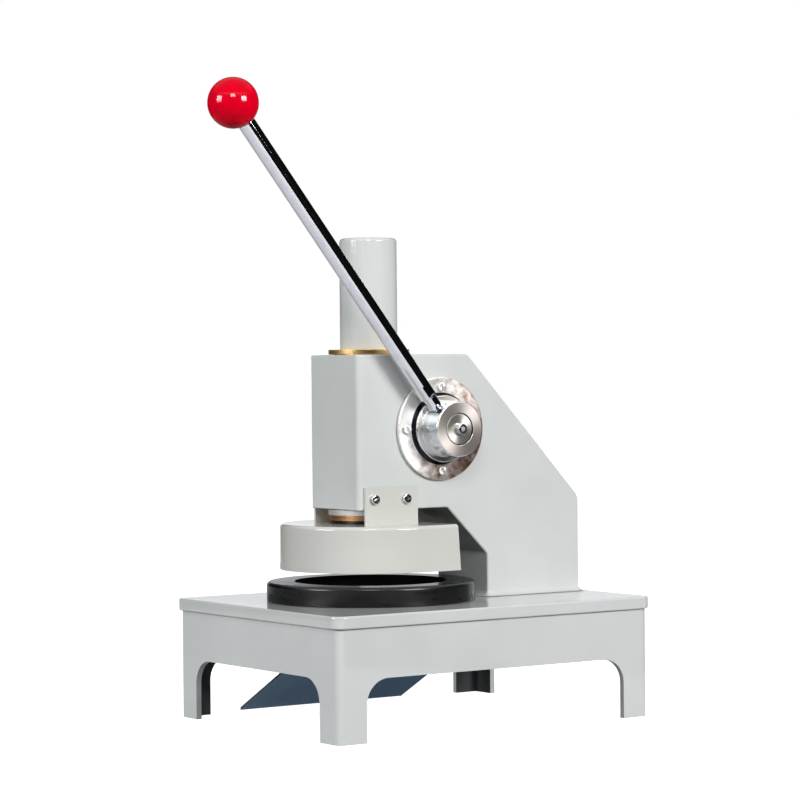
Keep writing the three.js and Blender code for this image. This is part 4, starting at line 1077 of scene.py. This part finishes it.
def countersunk(radius, shank, length):
    """A flat-head screw with a hexagon. Its head ends at z = 0."""
    screw = turned_solid("screw", [
        (0, -length), (shank, -length), (shank, -radius + shank), (radius, -0.0002),
        (radius, 0, 0.0001), (0, 0)], Matrix.Identity(4), 40)
    return carve(screw, hexagon_tool(COUNTERSUNK_HEXAGON, -0.0015, 0.001))


# Where a screw stands: its head as high as the node's, and each screw turned its own way.


def from_right(low, high, height, turn, index):
    y, z = (low.y + high.y) / 2, (low.z + high.z) / 2
    return sideways(high.x - height, y, z, 1, turn + 1.1 * index)


def from_left(low, high, height, turn, index):
    y, z = (low.y + high.y) / 2, (low.z + high.z) / 2
    return sideways(low.x + height, y, z, -1, turn + 0.7 * index)


def from_below(low, high, height, turn, index):
    x, y = (low.x + high.x) / 2, (low.y + high.y) / 2
    return hanging(x, y, low.z + height, turn + 0.9 * index)


def from_above(low, high, height, turn, index):
    x, y = (low.x + high.x) / 2, (low.y + high.y) / 2
    return upright(x, y, high.z - height, turn + index)


def place_screws(make, size, length, nodes, body, stand, turn, finish=ZINC):
    """Makes one screw, and puts a copy of it in the place of each node."""
    pattern = make(**size, length=length)
    for index, node in enumerate(nodes):
        low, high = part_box(node)
        placement = stand(low, high, size.get("height", 0), turn, index)
        dress(copy_of(pattern, f"{node}_m", placement), body, finish, "zinc", node)
    bpy.data.objects.remove(pattern)


def add_screws():
    fixed, sliding, turning = "machine", "ram_unit", "lever_unit"
    place_screws(pan_head, M4_PAN, 0.0075, RIGHT_GUARD_SCREWS, fixed, from_right, 0.5)
    place_screws(pan_head, M4_PAN, 0.0075, LEFT_GUARD_SCREWS, fixed, from_left, 0.2)
    place_screws(pan_head, M4_SMALL_PAN, 0.011, FLANGE_SCREWS, fixed, from_right, 0.3, COLLAR)
    place_screws(pan_head, M4_SMALL_PAN, 0.011, COVER_SCREWS, fixed, from_left, 0.9, COLLAR)
    place_screws(pan_head, M4_PAN, 0.0085, CHUTE_SCREWS, fixed, from_below, 0.4)
    place_screws(socket_head, M6_SOCKET, 0.015, BASE_SCREWS, fixed, from_below, 0.1)
    place_screws(socket_head, M6_SOCKET, 0.019, DIE_BOLTS, fixed, from_below, 0.3)
    place_screws(socket_head, M10_SOCKET, 0.034, FRAME_BOLTS, fixed, from_below, 0.2)
    place_screws(socket_head, M10_SOCKET, 0.028, ["holder_bolt"], sliding, from_below, 0.6)
    place_screws(countersunk, M5_COUNTERSUNK, 0.015, BLADE_SCREWS, sliding, from_above, 0)
    place_screws(socket_head, M5_SOCKET, 0.019, ["hub_screw"], turning, from_right, 0.35)


# -------------------- the machine

add_base_plate()
add_base_skirt()
add_chute()
add_die()
add_frame()
add_guides()
add_guard()
add_ram()
add_blade()
add_bearing_covers()
add_hub()
add_rod()
add_knob()
add_screws()

for node, material in {
    "pinion_shaft": STEEL, "pinion_gear": STEEL, "gear_key": STEEL, "hub_key": STEEL,
    "return_spring": STEEL, "right_shaft_bush": BRASS, "left_shaft_bush": BRASS,
}.items():
    dress_node(node, material)

# -------------------- studio


def plane(name, half_length, half_width, place, turn=0.0):
    corners = [(half_length * a, half_width * b, 0) for a, b in ((-1, -1), (1, -1), (1, 1), (-1, 1))]
    return new_piece(name, corners, [(0, 1, 2, 3)], upright(*place, turn))


def add_floor():
    """White and even to the eye. The table below it is what the machine is lit by and reflects."""
    floor = plane("floor", 6, 6, (0, 0, 0))
    white = Finish("floor_white", Base_Color=(0.88, 0.88, 0.88, 1), Roughness=0.9,
                   Emission_Color=(1, 1, 1, 1), Emission_Strength=0.95)
    floor.data.materials.append(white.material)
    floor.visible_diffuse = False
    floor.visible_glossy = False
    floor.visible_shadow = False
    table = plane("table", 1.6, 0.8, (-0.42, -0.08, -0.001), math.radians(-34.4))
    paper = Finish("table_paper", Base_Color=(0.9, 0.9, 0.92, 1), Roughness=0.9)
    table.data.materials.append(paper.material)
    table.visible_camera = False
    table.visible_diffuse = False


def add_softbox(name, place, size, power, colour=(1, 1, 1)):
    data = bpy.data.lights.new(name, "AREA")
    data.shape = "RECTANGLE"
    data.size, data.size_y = size
    data.energy = power
    data.color = colour
    box = bpy.data.objects.new(name, data)
    target = Vector((0, 0, 0.22))
    box.location = place
    box.rotation_euler = (target - box.location).to_track_quat("-Z", "Y").to_euler()
    bpy.context.scene.collection.objects.link(box)


def add_surroundings():
    """White to the eye, a dim room to light by, and a dark room with a pale ceiling to reflect."""
    world = bpy.data.worlds.new("studio")
    bpy.context.scene.world = world
    world.use_nodes = True
    tree = world.node_tree
    tree.nodes.clear()

    def node(kind, inputs=None, **settings):
        return add_node(tree, kind, inputs, **settings)

    def ramp(value, start, stop, low, high):
        inputs = {"Value": value, 1: start, 2: stop, 3: low, 4: high}
        return node("ShaderNodeMapRange", inputs, interpolation_type="SMOOTHSTEP").outputs[0]

    def brighter(one, other):
        return node("ShaderNodeMath", {0: one, 1: other}, operation="MAXIMUM").outputs[0]

    def background(colour, strength):
        return node("ShaderNodeBackground", {"Color": colour, "Strength": strength}).outputs[0]

    direction = node("ShaderNodeTexCoord").outputs["Generated"]
    height = node("ShaderNodeSeparateXYZ", {0: direction}).outputs[2]
    backdrop = node("ShaderNodeVectorMath", {0: direction, 1: Vector((-0.82, 0.56, -0.1))},
                    operation="DOT_PRODUCT").outputs["Value"]
    ceiling = ramp(height, 0.45, 0.65, 0.005, 0.85)
    reflected = brighter(ceiling, ramp(backdrop, 0.9, 0.985, 0.0, 0.95))
    above, below = ramp(height, -0.1, 0.8, 0.005, 0.12), ramp(height, -0.25, -0.02, 0.18, 0.0)
    dim = brighter(brighter(above, below), ramp(backdrop, 0.3, 0.95, 0.0, 0.6))
    rays = node("ShaderNodeLightPath").outputs
    room = node("ShaderNodeMixShader", {0: rays["Is Glossy Ray"], 1: background((1, 1, 1, 1), dim),
                                        2: background((0.95, 0.97, 1.0, 1), reflected)})
    shown = node("ShaderNodeMixShader", {0: rays["Is Camera Ray"], 1: room.outputs[0],
                                         2: background((1, 1, 1, 1), 1.0)})
    node("ShaderNodeOutputWorld", {"Surface": shown.outputs[0]})


add_floor()
add_softbox("right_softbox", (2.25, 0.6, 1.05), (1.0, 0.85), 49)
add_softbox("front_softbox", (-0.2, -2.5, 1.0), (1.0, 1.0), 40.5, (0.965, 0.98, 1.0))
add_softbox("high_softbox", (1.9, -1.3, 1.65), (0.8, 0.55), 17)
add_surroundings()
bpy.context.scene.view_settings.view_transform = "Standard"
